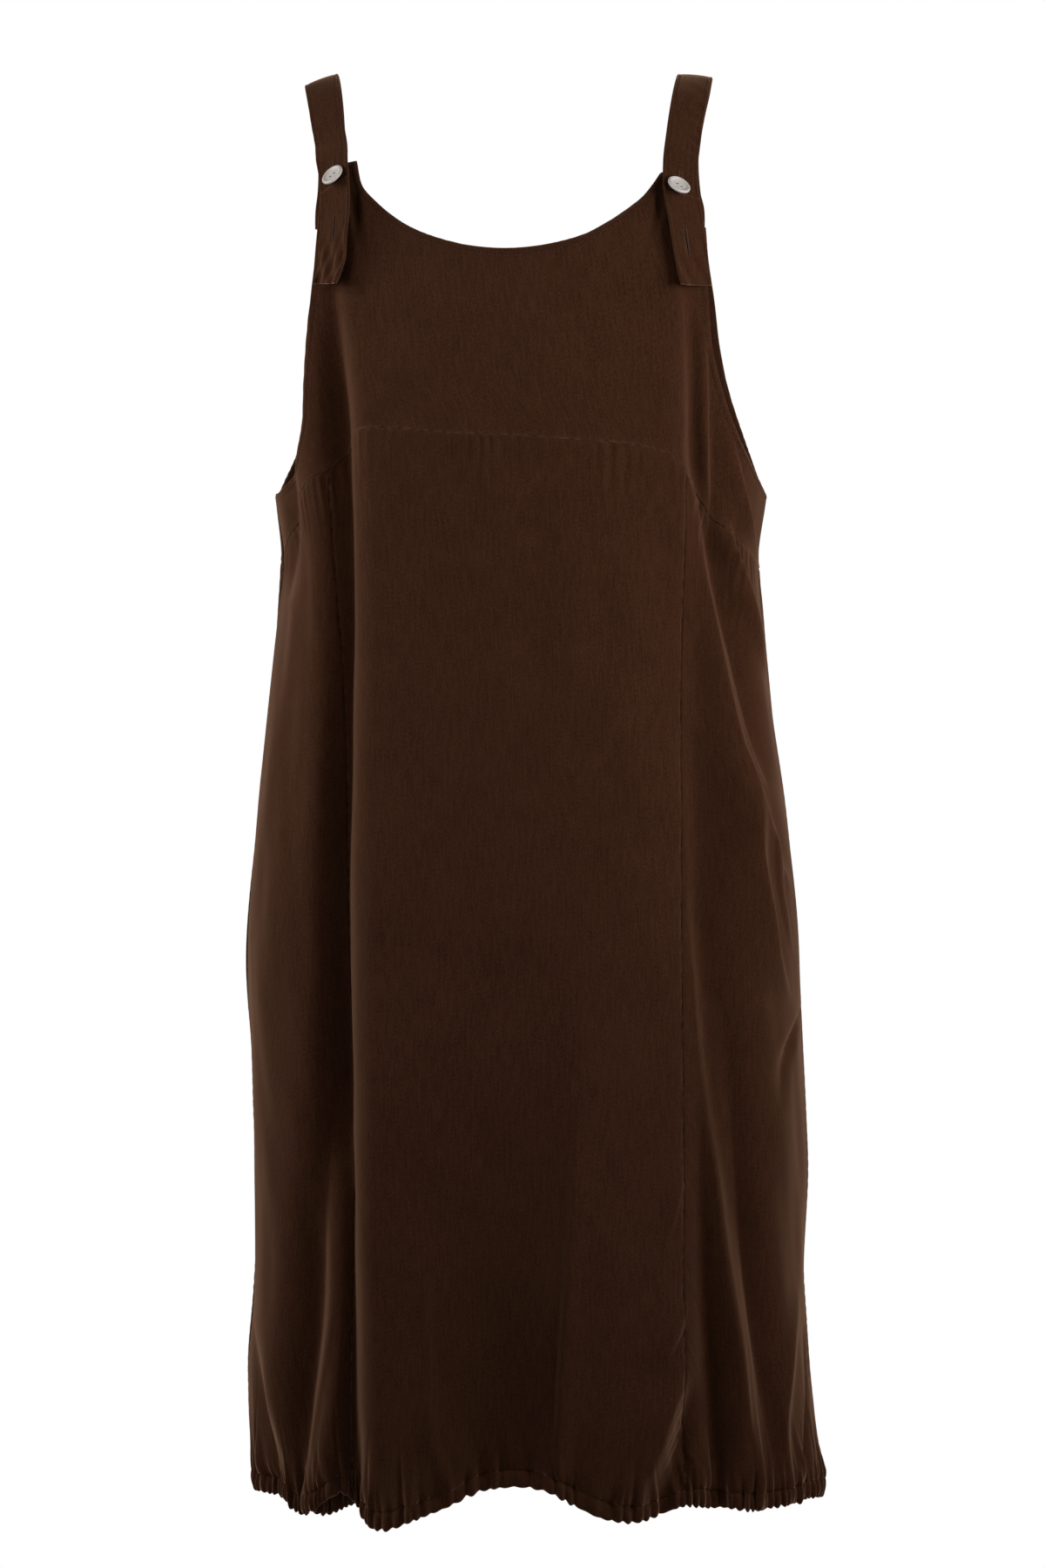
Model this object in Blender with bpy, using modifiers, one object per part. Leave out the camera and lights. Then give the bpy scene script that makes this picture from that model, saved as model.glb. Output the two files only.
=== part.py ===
"""A sleeveless pinafore dress with a bubble hem, hanging open as it does when worn.

Blender 4.5: run with  blender --background --python part.py  or from the text editor.

Metres, +Z up. The origin is midway between the shoulder straps, level with the underside of
their tops, where the wearer's shoulders carry them. The front faces -Y, so +X is the side that
is on the right when the dress is looked at from the front.

Every cloth piece lies on one surface, cloth(turn, height). "turn" is the way round the body in
radians: 0 at the middle of the front, pi/2 at the right side seam, pi at the middle of the back
and 3 pi/2 at the left side seam. The surface is a set of level rings, taken from SECTIONS, that
the rows of FOLDS push out or in. A piece is a patch of that surface between its seam lines.
"""

import math

import bpy
import numpy as np
from mathutils import Matrix, Vector

for old in list(bpy.data.objects):
    bpy.data.objects.remove(old)

# --- driving dimensions -----------------------------------------------------------------------

CLOTH_WALL = 0.0016
SEAM_GAP = 0.0003
CASING_HEIGHT = 0.013
CASING_TUCK = 0.0010
GATHERS_PER_COLUMN = 2
POINTS_PER_GATHER = 3
GATHER_DEPTH = 0.0021
# What makes the gathers uneven: (share of their depth, radians for each column, starting angle).
GATHER_UNEVENNESS = ((0.16, 1.43, 0.0), (0.12, 0.61, 1.3))

STRAP_WIDTH = 0.028
STRAP_THICKNESS = 0.0026
BUTTON_DIAMETER = 0.019
BUTTON_THICKNESS = 0.0032
BUTTON_HOLE_DIAMETER = 0.0019
BUTTON_HOLE_SPACING = 0.0048

SIDE = math.pi / 2
FULL_TURN = 2 * math.pi
SIDE_TURN = {("left", "front"): -SIDE, ("right", "front"): SIDE,
             ("right", "back"): SIDE, ("left", "back"): FULL_TURN - SIDE}
RING_CORNER = 0.05  # how far a level ring leaves a plain ellipse towards a rounded box
METRES_PER_RADIAN = 0.16  # about how much cloth a radian covers

SKIRT_TOP, SKIRT_FOOT = -0.34, -1.10  # about where the skirt's panels begin and end
# Mesh density: pieces of cloth between two grid lines.
SKIRT_ROWS = 20
ROW_CROWDING = 0.38  # how much closer the skirt's rows lie at the hem than at the yoke seam
BODICE_ROWS = 10
COLUMNS = {"side_left": 12, "front": 22, "side_right": 18, "back_right": 14, "back_left": 14}
# Along a bodice's upper edge: armhole, shoulder tab, neckline, shoulder tab, armhole.
FRONT_TOP_COLUMNS = (12, 3, 18, 3, 16)
BACK_TOP_COLUMNS = (8, 2, 8, 2, 8)

# --- the level rings --------------------------------------------------------------------------

SECTION_COLUMNS = ("height", "left", "right", "front", "back")
SECTIONS = (
    (-0.050, 0.185, 0.225, 0.058, 0.060),
    (-0.090, 0.185, 0.225, 0.078, 0.078),
    (-0.130, 0.186, 0.222, 0.096, 0.090),
    (-0.180, 0.187, 0.216, 0.112, 0.100),
    (-0.250, 0.186, 0.208, 0.126, 0.106),
    (-0.326, 0.183, 0.201, 0.132, 0.106),
    (-0.375, 0.177, 0.195, 0.134, 0.106),
    (-0.416, 0.180, 0.198, 0.136, 0.109),
    (-0.498, 0.189, 0.206, 0.140, 0.116),
    (-0.600, 0.199, 0.219, 0.145, 0.125),
    (-0.680, 0.205, 0.225, 0.148, 0.131),
    (-0.760, 0.202, 0.229, 0.151, 0.136),
    (-0.850, 0.199, 0.232, 0.152, 0.139),
    (-0.945, 0.200, 0.230, 0.152, 0.139),
    (-1.008, 0.203, 0.234, 0.150, 0.137),
    (-1.050, 0.202, 0.239, 0.147, 0.134),
    (-1.090, 0.198, 0.243, 0.142, 0.129),
    (-1.115, 0.194, 0.244, 0.137, 0.124),
    (-1.150, 0.189, 0.241, 0.133, 0.120),
)

# --- seams and edges: "across" is the distance from the middle, + to the right -----------------

# The rows of a level line are (across, height).
# Where the bodice is sewn to the skirt. It arches up over the front and over the back.
YOKE_FRONT = (
    (-0.169, -0.330),
    (-0.158, -0.314),
    (-0.146, -0.308),
    (-0.134, -0.300),
    (-0.115, -0.283),
    (-0.098, -0.277),
    (-0.044, -0.280),
    (0.010, -0.282),
    (0.050, -0.285),
    (0.090, -0.288),
    (0.110, -0.292),
    (0.127, -0.299),
    (0.140, -0.313),
    (0.160, -0.340),
    (0.179, -0.361),
)
YOKE_SIDE = {"left": -0.380, "right": -0.384}
YOKE_BACK = (
    (0.165, -0.352),
    (0.110, -0.318),
    (0.050, -0.304),
    (0.000, -0.302),
    (-0.050, -0.304),
    (-0.105, -0.318),
    (-0.155, -0.350),
)

# The lower edge of the gathered hem. It hangs in waves.
HEM_FRONT = (
    (-0.188, -1.108),
    (-0.176, -1.119),
    (-0.162, -1.117),
    (-0.149, -1.114),
    (-0.138, -1.106),
    (-0.130, -1.103),
    (-0.122, -1.112),
    (-0.112, -1.125),
    (-0.096, -1.130),
    (-0.075, -1.124),
    (-0.048, -1.114),
    (-0.022, -1.101),
    (0.004, -1.097),
    (0.026, -1.100),
    (0.048, -1.110),
    (0.072, -1.121),
    (0.098, -1.125),
    (0.118, -1.120),
    (0.138, -1.113),
    (0.160, -1.113),
    (0.186, -1.116),
    (0.212, -1.114),
    (0.232, -1.109),
)
HEM_SIDE = {"left": -1.100, "right": -1.107}
HEM_BACK = (
    (0.215, -1.112),
    (0.170, -1.106),
    (0.115, -1.108),
    (0.055, -1.095),
    (0.000, -1.089),
    (-0.055, -1.097),
    (-0.095, -1.110),
    (-0.120, -1.118),
    (-0.143, -1.125),
    (-0.160, -1.120),
    (-0.182, -1.108),
)

SEAM_COLUMNS = ("height", "left", "right")
# The two long seams down the front of the skirt.
FRONT_SEAMS = (
    (-0.280, -0.1450, 0.1370),
    (-0.320, -0.1440, 0.1375),
    (-0.400, -0.1390, 0.1375),
    (-0.500, -0.1350, 0.1375),
    (-0.620, -0.1330, 0.1370),
    (-0.900, -0.1330, 0.1370),
    (-1.150, -0.1320, 0.1375),
)
# The armhole edges, from the underarm up to the corner of the shoulder tab.
UNDERARM = {"left": -0.326, "right": -0.327}
ARMHOLE_FRONT = (
    (-0.3235, -0.1805, 0.1990),
    (-0.3142, -0.1770, 0.1945),
    (-0.2938, -0.1690, 0.1856),
    (-0.2734, -0.1646, 0.1780),
    (-0.2450, -0.1617, 0.1690),
    (-0.2122, -0.1584, 0.1605),
    (-0.1750, -0.1530, 0.1560),
    (-0.1360, -0.1496, 0.1523),
    (-0.1000, -0.1470, 0.1490),
    (-0.0730, -0.1462, 0.1468),
)
ARMHOLE_BACK = (
    (-0.3235, -0.1800, 0.1990),
    (-0.3142, -0.1760, 0.1955),
    (-0.2938, -0.1670, 0.1885),
    (-0.2734, -0.1610, 0.1815),
    (-0.2450, -0.1560, 0.1725),
    (-0.2122, -0.1530, 0.1655),
    (-0.1750, -0.1500, 0.1610),
    (-0.1400, -0.1500, 0.1560),
    (-0.1160, -0.1510, 0.1540),
)
# The necklines, between the inner corners of the shoulder tabs.
NECK_FRONT = (
    (-0.1190, -0.0668),
    (-0.1142, -0.0870),
    (-0.1034, -0.0993),
    (-0.0925, -0.1088),
    (-0.0816, -0.1163),
    (-0.0544, -0.1278),
    (-0.0218, -0.1346),
    (0.0054, -0.1353),
    (0.0350, -0.1312),
    (0.0598, -0.1238),
    (0.0762, -0.1149),
    (0.0925, -0.1040),
    (0.1034, -0.0952),
    (0.1110, -0.0860),
    (0.1176, -0.0762),
)
NECK_BACK = (
    (0.1270, -0.1160),
    (0.1220, -0.1250),
    (0.1080, -0.1370),
    (0.0800, -0.1480),
    (0.0400, -0.1540),
    (0.0000, -0.1560),
    (-0.0400, -0.1540),
    (-0.0800, -0.1480),
    (-0.1080, -0.1370),
    (-0.1220, -0.1250),
    (-0.1270, -0.1160),
)

# --- the folds --------------------------------------------------------------------------------

# A row is (name, face, reach_left, reach_right, path). Each fold runs down the cloth along its
# path, whose push is outwards if positive, and its reaches say how far it spreads to each side.
PATH_COLUMNS = ("height", "across", "push")
FOLDS = (
    ("left_valley", "front", 0.021, 0.0105, (
        (-0.110, -0.140, 0.000), (-0.165, -0.140, -0.007), (-0.220, -0.138, -0.016),
        (-0.265, -0.136, -0.027), (-0.310, -0.134, -0.036), (-0.385, -0.133, -0.043),
        (-0.490, -0.133, -0.047), (-0.640, -0.133, -0.050), (-0.800, -0.133, -0.052),
        (-0.910, -0.132, -0.050), (-1.010, -0.130, -0.046), (-1.085, -0.127, -0.040),
        (-1.150, -0.126, -0.036))),
    ("front_edge_roll", "front", 0.012, 0.040, (
        (-0.140, -0.128, 0.000), (-0.220, -0.121, 0.004), (-0.315, -0.114, 0.006),
        (-0.600, -0.112, 0.006), (-1.000, -0.112, 0.006), (-1.150, -0.106, 0.003))),
    ("left_panel_set_back", "front", 0.045, 0.030, (
        (-0.190, -0.160, 0.000), (-0.370, -0.163, -0.006), (-0.700, -0.170, -0.007),
        (-1.040, -0.166, -0.006), (-1.150, -0.163, -0.004))),
    ("left_underarm_crease", "front", 0.012, 0.016, (
        (-0.290, -0.1740, 0.000), (-0.320, -0.1755, -0.008), (-0.365, -0.1740, -0.007),
        (-0.410, -0.1760, 0.000))),
    ("left_hem_valley", "front", 0.012, 0.018, (
        (-0.970, -0.2010, 0.000), (-1.030, -0.1980, -0.008), (-1.080, -0.1930, -0.013),
        (-1.150, -0.1880, -0.013))),
    ("left_slant_ridge", "front", 0.018, 0.014, (
        (-0.840, -0.142, 0.000), (-0.950, -0.148, 0.007), (-1.020, -0.156, 0.008),
        (-1.085, -0.164, 0.006), (-1.140, -0.168, 0.003))),
    ("middle_hollow", "front", 0.060, 0.045, (
        (-0.620, 0.006, 0.000), (-0.840, 0.006, -0.007), (-0.990, 0.004, -0.012),
        (-1.085, 0.002, -0.014), (-1.150, 0.000, -0.013))),
    ("left_knee_swell", "front", 0.030, 0.028, (
        (-0.880, -0.066, 0.000), (-0.990, -0.068, 0.004), (-1.070, -0.070, 0.006),
        (-1.140, -0.074, 0.005))),
    ("right_knee_swell", "front", 0.018, 0.040, (
        (-0.800, 0.066, 0.000), (-0.940, 0.064, 0.006), (-1.040, 0.061, 0.008),
        (-1.140, 0.066, 0.006))),
    ("right_front_ridge", "front", 0.030, 0.009, (
        (-0.130, 0.1290, 0.000), (-0.170, 0.1300, 0.005), (-0.225, 0.1340, 0.008),
        (-0.285, 0.1370, 0.009), (-0.385, 0.1310, 0.006), (-0.600, 0.1270, 0.005),
        (-0.890, 0.1260, 0.005), (-1.050, 0.1240, 0.004), (-1.140, 0.1240, 0.000))),
    ("right_bib_valley", "front", 0.007, 0.011, (
        (-0.140, 0.1420, 0.000), (-0.190, 0.1430, -0.007), (-0.250, 0.1455, -0.009),
        (-0.310, 0.1490, -0.008), (-0.350, 0.1520, 0.000))),
    ("right_bib_ridge", "front", 0.008, 0.012, (
        (-0.195, 0.1530, 0.000), (-0.245, 0.1560, 0.005), (-0.310, 0.1600, 0.006),
        (-0.360, 0.1620, 0.000))),
    ("bust_drag", "front", 0.017, 0.010, (
        (-0.300, 0.1370, 0.000), (-0.334, 0.1480, 0.008), (-0.373, 0.1560, 0.011),
        (-0.452, 0.1720, 0.013), (-0.524, 0.1890, 0.014), (-0.576, 0.2080, 0.011),
        (-0.605, 0.2160, 0.000))),
    ("bust_drag_hollow", "front", 0.008, 0.013, (
        (-0.330, 0.1590, 0.000), (-0.373, 0.1680, -0.007), (-0.452, 0.1850, -0.009),
        (-0.515, 0.2000, -0.007), (-0.555, 0.2100, 0.000))),
    ("hip_drag", "front", 0.020, 0.010, (
        (-0.520, 0.1860, 0.000), (-0.564, 0.1950, 0.006), (-0.602, 0.2010, 0.009),
        (-0.645, 0.2090, 0.009), (-0.695, 0.2190, 0.005), (-0.725, 0.2240, 0.000))),
    ("underarm_drag", "front", 0.010, 0.009, (
        (-0.345, 0.1730, 0.000), (-0.360, 0.1770, 0.006), (-0.394, 0.1860, 0.007),
        (-0.433, 0.1950, 0.006), (-0.470, 0.2020, 0.000))),
    ("armhole_drag", "front", 0.009, 0.009, (
        (-0.270, 0.1720, 0.000), (-0.317, 0.1820, 0.005), (-0.340, 0.1870, 0.006),
        (-0.375, 0.1930, 0.000))),
    ("hip_nick", "front", 0.012, 0.010, (
        (-0.725, 0.2280, 0.000), (-0.745, 0.2240, -0.008), (-0.768, 0.2160, -0.005),
        (-0.810, 0.2100, 0.000))),
    ("long_slant_ridge", "front", 0.014, 0.017, (
        (-0.530, 0.1390, 0.000), (-0.620, 0.1430, 0.005), (-0.750, 0.1550, 0.009),
        (-0.832, 0.1670, 0.011), (-0.938, 0.1820, 0.012), (-1.032, 0.1960, 0.012),
        (-1.092, 0.2040, 0.009), (-1.145, 0.2060, 0.006))),
    ("long_slant_hollow", "front", 0.016, 0.014, (
        (-0.680, 0.1750, 0.000), (-0.832, 0.1920, -0.006), (-0.938, 0.2050, -0.008),
        (-1.032, 0.2160, -0.007), (-1.145, 0.2200, -0.005))),
    ("seam_hollow", "front", 0.012, 0.014, (
        (-0.760, 0.1450, 0.000), (-0.880, 0.1480, -0.006), (-1.000, 0.1520, -0.009),
        (-1.092, 0.1560, -0.008), (-1.145, 0.1560, -0.006))),
    ("seam_overlap_ridge", "front", 0.026, 0.008, (
        (-0.880, 0.1370, 0.000), (-0.980, 0.1320, 0.004), (-1.027, 0.1310, 0.009),
        (-1.065, 0.1200, 0.011), (-1.097, 0.1080, 0.007), (-1.130, 0.1000, 0.003))),
    ("right_hem_ridge", "front", 0.015, 0.008, (
        (-0.970, 0.2260, 0.000), (-1.015, 0.2220, 0.005), (-1.060, 0.2180, 0.007),
        (-1.130, 0.2220, 0.005))),
    ("right_hem_valley", "front", 0.007, 0.012, (
        (-0.970, 0.2300, 0.000), (-1.030, 0.2330, -0.009), (-1.080, 0.2320, -0.013),
        (-1.145, 0.2330, -0.012))),
    ("back_left_valley", "back", 0.016, 0.030, (
        (-0.180, -0.092, 0.000), (-0.300, -0.094, -0.009), (-0.480, -0.098, -0.021),
        (-0.700, -0.103, -0.028), (-0.950, -0.106, -0.029), (-1.145, -0.102, -0.022))),
    ("back_right_valley", "back", 0.030, 0.016, (
        (-0.200, 0.098, 0.000), (-0.330, 0.101, -0.009), (-0.540, 0.107, -0.019),
        (-0.780, 0.112, -0.026), (-0.990, 0.113, -0.027), (-1.145, 0.108, -0.020))),
    ("back_middle_swell", "back", 0.045, 0.045, (
        (-0.290, 0.006, 0.000), (-0.520, 0.004, 0.006), (-0.900, -0.004, 0.010),
        (-1.145, -0.006, 0.007))),
    ("back_left_slant", "back", 0.016, 0.012, (
        (-0.430, -0.162, 0.000), (-0.620, -0.156, 0.008), (-0.860, -0.150, 0.011),
        (-1.145, -0.140, 0.008))),
    ("back_right_slant", "back", 0.012, 0.018, (
        (-0.370, 0.184, 0.000), (-0.560, 0.178, 0.008), (-0.820, 0.168, 0.011),
        (-1.145, 0.160, 0.008))),
    ("back_hem_hollow", "back", 0.030, 0.024, (
        (-0.890, -0.040, 0.000), (-1.040, -0.042, -0.007), (-1.145, -0.044, -0.011))),
    ("back_hem_hollow_right", "back", 0.022, 0.026, (
        (-0.930, 0.052, 0.000), (-1.050, 0.054, -0.006), (-1.145, 0.056, -0.010))),
)
FOLD_SHARPNESS = 1.7

# --- straps and buttons -----------------------------------------------------------------------

# "yaw" and "slope" turn the strap's width: yaw brings its end nearer the neck forwards if it
# lies on the left and is negative, slope lifts its right edge. Both are in degrees.
# The rows over the shoulder, from the back to the front, are (across, depth, height, yaw, slope).
# Those of the tail on the bodice, from above the button down, are (height, across, lift, yaw),
# with its lift off the cloth. A button's stand is its distance from the middle of the strap.
STRAPS = {
    "left": {
        "shoulder": (
            (-0.1415, 0.0580, -0.0860, 26.0, 4.0),
            (-0.1430, 0.0510, -0.0570, 22.0, 8.0),
            (-0.1450, 0.0385, -0.0280, 14.0, 14.0),
            (-0.1465, 0.0200, -0.0060, 5.0, 18.0),
            (-0.1469, 0.0000, 0.0000, -6.0, 19.0),
            (-0.1455, -0.0185, -0.0120, -20.0, 19.0),
            (-0.1421, -0.0345, -0.0350, -27.0, 15.0),
            (-0.1398, -0.0440, -0.0490, -31.0, 12.0),
        ),
        "tail": (
            (-0.0700, -0.1370, 0.0040, -36.0),
            (-0.0880, -0.1363, 0.0035, -38.0),
            (-0.1080, -0.1362, 0.0045, -41.0),
            (-0.1280, -0.1365, 0.0055, -43.0),
            (-0.1480, -0.1372, 0.0065, -44.0),
            (-0.1640, -0.1382, 0.0080, -44.0),
        ),
        "back_across": -0.1405,
        "button_stand": 0.0072,
        "button_across": -0.1367,
        "button_height": -0.0768,
        "button_facing": (-0.500, -0.640, 0.580),
        "hole_line": (0.70, 0.0, 0.72),
    },
    "right": {
        "shoulder": (
            (0.1412, 0.0680, -0.0880, -20.0, 0.0),
            (0.1420, 0.0590, -0.0580, -17.0, -2.0),
            (0.1435, 0.0430, -0.0280, -12.0, -4.0),
            (0.1445, 0.0220, -0.0060, -5.0, -5.0),
            (0.1442, 0.0000, 0.0010, 2.0, -5.0),
            (0.1415, -0.0240, -0.0130, 8.0, -5.0),
            (0.1375, -0.0430, -0.0350, 12.0, -4.0),
            (0.1354, -0.0530, -0.0500, 13.0, -4.0),
        ),
        "tail": (
            (-0.0720, 0.1326, 0.0035, 14.0),
            (-0.0900, 0.1326, 0.0030, 15.0),
            (-0.1100, 0.1358, 0.0030, 16.0),
            (-0.1300, 0.1388, 0.0035, 17.0),
            (-0.1500, 0.1414, 0.0045, 18.0),
            (-0.1680, 0.1430, 0.0060, 18.0),
        ),
        "back_across": 0.1405,
        "button_stand": 0.0060,
        "button_across": 0.1312,
        "button_height": -0.0794,
        "button_facing": (0.420, -0.640, 0.640),
        "hole_line": (0.60, 0.0, -0.80),
    },
}
STRAP_STEPS = 36
WIDTH_WEIGHT = 0.05  # how strongly a turn of the width counts as length along the strap
# The strap's cross-section: (share of its half width, share of its half thickness).
STRAP_OUTLINE = ((-1, -0.45), (-0.93, -1), (0, -1), (0.93, -1), (1, -0.45),
                 (1, 0.45), (0.93, 1), (0, 1), (-0.93, 1), (-1, 0.45))
# The button's, from the middle of its face to the middle of its back: (share of its radius, share
# of its thickness).
BUTTON_OUTLINE = ((0, 0.62), (0.50, 0.66), (0.74, 0.92), (0.86, 1.0), (0.96, 0.86),
                  (1.0, 0.58), (0.93, 0.24), (0.70, 0.0), (0, 0.0))
BUTTON_SIDES = 28
HOLE_SIDES = 10

COLOURS = {
    "cloth": (0.040, 0.017, 0.010, 1.0),
    "button": (0.62, 0.54, 0.49, 1.0),
}


# --- curves -----------------------------------------------------------------------------------


def column(rows, names, name):
    """One named column of a table, as an array."""
    return np.array([row[names.index(name)] for row in rows], float)


def smooth(at, xs, ys):
    """A smooth curve through (xs, ys), with xs rising, read at the places in at. Each piece is a
    cubic whose slopes are those between its neighbours, and the ends stay level."""
    at = np.clip(np.asarray(at, float), xs[0], xs[-1])
    slopes = np.gradient(ys, xs)
    i = np.clip(np.searchsorted(xs, at, side="right") - 1, 0, len(xs) - 2)
    step = xs[i + 1] - xs[i]
    t = (at - xs[i]) / step
    return (
        ys[i] * (1 + 2 * t) * (1 - t) ** 2
        + ys[i + 1] * t * t * (3 - 2 * t)
        + step * (slopes[i] * t * (1 - t) ** 2 + slopes[i + 1] * t * t * (t - 1))
    )


def by_height(rows, names, name, height):
    """A column of a table whose rows go down from the top, read at any height."""
    heights = column(rows, names, "height")[::-1]
    return smooth(height, heights, column(rows, names, name)[::-1])


def along(points, count):
    """count points spaced evenly along a smooth curve through the given ones."""
    points = np.asarray(points, float)
    steps = np.linalg.norm(np.diff(points, axis=0), axis=1)
    at = np.concatenate([[0], np.cumsum(steps)])
    fine = np.linspace(0, at[-1], 40 * len(points))
    curve = np.stack([smooth(fine, at, points[:, k]) for k in range(points.shape[1])], axis=1)
    steps = np.linalg.norm(np.diff(curve, axis=0), axis=1)
    at = np.concatenate([[0], np.cumsum(steps)])
    even = np.linspace(0, at[-1], count)
    return np.stack([np.interp(even, at, curve[:, k]) for k in range(points.shape[1])], axis=1)


# --- the surface that all the cloth lies on ---------------------------------------------------


def ring(turn, height):
    """A level ring of the garment before it is folded: the point, the unit vector along the ring
    and the length of ring that a radian covers. An ellipse with RING_CORNER of a third harmonic,
    whose four half axes are those of SECTIONS."""
    sine, cosine = np.sin(turn), np.cos(turn)
    half = {
        name: by_height(SECTIONS, SECTION_COLUMNS, name, height)
        for name in SECTION_COLUMNS[1:]
    }
    wide = np.where(sine >= 0, half["right"], half["left"]) / (1 - RING_CORNER)
    deep = np.where(cosine >= 0, half["front"], half["back"]) / (1 - RING_CORNER)
    x = wide * (sine + RING_CORNER * np.sin(3 * turn))
    y = -deep * (cosine - RING_CORNER * np.cos(3 * turn))
    x_step = wide * (cosine + 3 * RING_CORNER * np.cos(3 * turn))
    y_step = deep * (sine - 3 * RING_CORNER * np.sin(3 * turn))
    length = np.hypot(x_step, y_step)
    return x, y, x_step / length, y_step / length, length


def turn_at(across, height, face="front"):
    """The turn at which the unfolded ring is that far across, on its front or its back."""
    across = np.asarray(across, float)
    side = np.where(across >= 0, "right", "left")
    half = np.where(
        side == "right",
        by_height(SECTIONS, SECTION_COLUMNS, "right", height),
        by_height(SECTIONS, SECTION_COLUMNS, "left", height),
    )
    # sin(3 turn) is 3 sin(turn) - 4 sin(turn) cubed, so the sine is found by repeated trial.
    wanted = np.clip(across / half, -1, 1) * (1 - RING_CORNER)
    sine = wanted
    for _ in range(30):
        sine = (wanted + 4 * RING_CORNER * sine**3) / (1 + 3 * RING_CORNER)
    turn = np.arcsin(np.clip(sine, -1, 1))
    return turn if face == "front" else math.pi - turn


def fold_push(turn, height):
    """How far the folds push the cloth out. A fold's push falls off to either side of its line
    as exp(-(distance / reach) ** FOLD_SHARPNESS)."""
    length = ring(turn, height)[4]
    total = np.zeros(np.broadcast(turn, height).shape)
    for _, face, reach_left, reach_right, path in FOLDS:
        across = by_height(path, PATH_COLUMNS, "across", height)
        push = by_height(path, PATH_COLUMNS, "push", height)
        off = (turn - turn_at(across, height, face) + math.pi) % FULL_TURN - math.pi
        distance = off * length * (1 if face == "front" else -1)
        reach = np.where(distance < 0, reach_left, reach_right)
        total = total + push * np.exp(-((np.abs(distance) / reach) ** FOLD_SHARPNESS))
    return total


def cloth(turn, height):
    """Points of the outer face of the cloth."""
    x, y, along_x, along_y, _ = ring(turn, height)
    push = fold_push(turn, height)
    return np.stack([x + along_y * push, y - along_x * push, height + 0 * x], axis=-1)


def outward(turn, height):
    """Unit vectors square to the cloth and out of it."""
    rise = 0.0004
    swing = rise / METRES_PER_RADIAN
    step_round = cloth(turn + swing, height) - cloth(turn - swing, height)
    step_up = cloth(turn, height + rise) - cloth(turn, height - rise)
    normal = np.cross(step_round, step_up)
    return normal / np.linalg.norm(normal, axis=-1, keepdims=True)


# --- seam lines, as heights all round ---------------------------------------------------------


def line_round(front, sides, back):
    """(turns, heights) of a line all round the dress, from the left side seam forwards."""
    front = [(turn_at(a, h, "front"), h) for a, h in front]
    back = [(turn_at(a, h, "back"), h) for a, h in back]
    rows = [
        (-SIDE, sides["left"]),
        *front,
        (SIDE, sides["right"]),
        *back,
        (FULL_TURN - SIDE, sides["left"]),
    ]
    return np.array(rows, float).T


YOKE_LINE = line_round(YOKE_FRONT, YOKE_SIDE, YOKE_BACK)
HEM_LINE = line_round(HEM_FRONT, HEM_SIDE, HEM_BACK)


def yoke_height(turn):
    return smooth(turn, *YOKE_LINE)


def casing_top(turn):
    return smooth(turn, *HEM_LINE) + CASING_HEIGHT


def front_seam(side, height):
    """The turn of a long front seam at a height."""
    return turn_at(by_height(FRONT_SEAMS, SEAM_COLUMNS, side, height), height)


def even_columns(start, end, count):
    """count + 1 shares from 0 to 1 between two seam lines, evenly spaced along the folded cloth.
    start and end give a seam's turn at a height."""
    share = np.linspace(0, 1, 400)
    total = np.zeros(len(share))
    for height in np.linspace(SKIRT_TOP, SKIRT_FOOT, 9):
        at = np.full(len(share), height)
        first, last = start(height), end(height)
        points = cloth(first + share * (last - first), at)
        steps = np.linalg.norm(np.diff(points, axis=0), axis=1)
        total += np.concatenate([[0], np.cumsum(steps)])
    return np.interp(np.linspace(0, 1, count + 1), total / total[-1], share)


# --- patches ----------------------------------------------------------------------------------


def shares(edge):
    """How far along an edge of (turn, height) each of its points is, from 0 to 1."""
    steps = np.linalg.norm(np.diff(edge, axis=0) * (METRES_PER_RADIAN, 1), axis=1)
    return np.concatenate([[0], np.cumsum(steps)]) / steps.sum()


def patch(low, high, left, right):
    """A grid of (turn, height) that fills the space between four edges (a Coons patch). low and
    high run from left to right, left and right run upwards, and the corners agree."""
    f = shares(low)[None, :, None]
    t = shares(left)[:, None, None]
    across = (1 - t) * low[None] + t * high[None]
    upwards = (1 - f) * left[:, None] + f * right[:, None]
    corners = (1 - t) * ((1 - f) * low[0] + f * low[-1]) + t * ((1 - f) * high[0] + f * high[-1])
    return across + upwards - corners


def pulled_in(grid):
    """The grid with its edges drawn in by half a seam gap."""
    grid = grid.copy()
    turn, height = grid[..., 0], grid[..., 1]
    swing = 0.001
    span = np.linalg.norm(cloth(turn + swing, height) - cloth(turn - swing, height), axis=-1)
    step = SEAM_GAP / 2 * (2 * swing) / span
    grid[:, 0, 0] += step[:, 0]
    grid[:, -1, 0] -= step[:, -1]
    grid[0, :, 1] += SEAM_GAP / 2
    grid[-1, :, 1] -= SEAM_GAP / 2
    return grid


def level_edge(start, end, share, line):
    """Points of a seam that runs round, at shares of the way between two upright seams. Its
    height and theirs depend on each other, so it is found by repeated trial."""
    first, last = start(SKIRT_TOP), end(SKIRT_TOP)
    for _ in range(5):
        turns = first + share * (last - first)
        heights = line(turns)
        first, last = start(heights), end(heights)
    return np.stack([first + share * (last - first), heights], axis=1)


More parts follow.
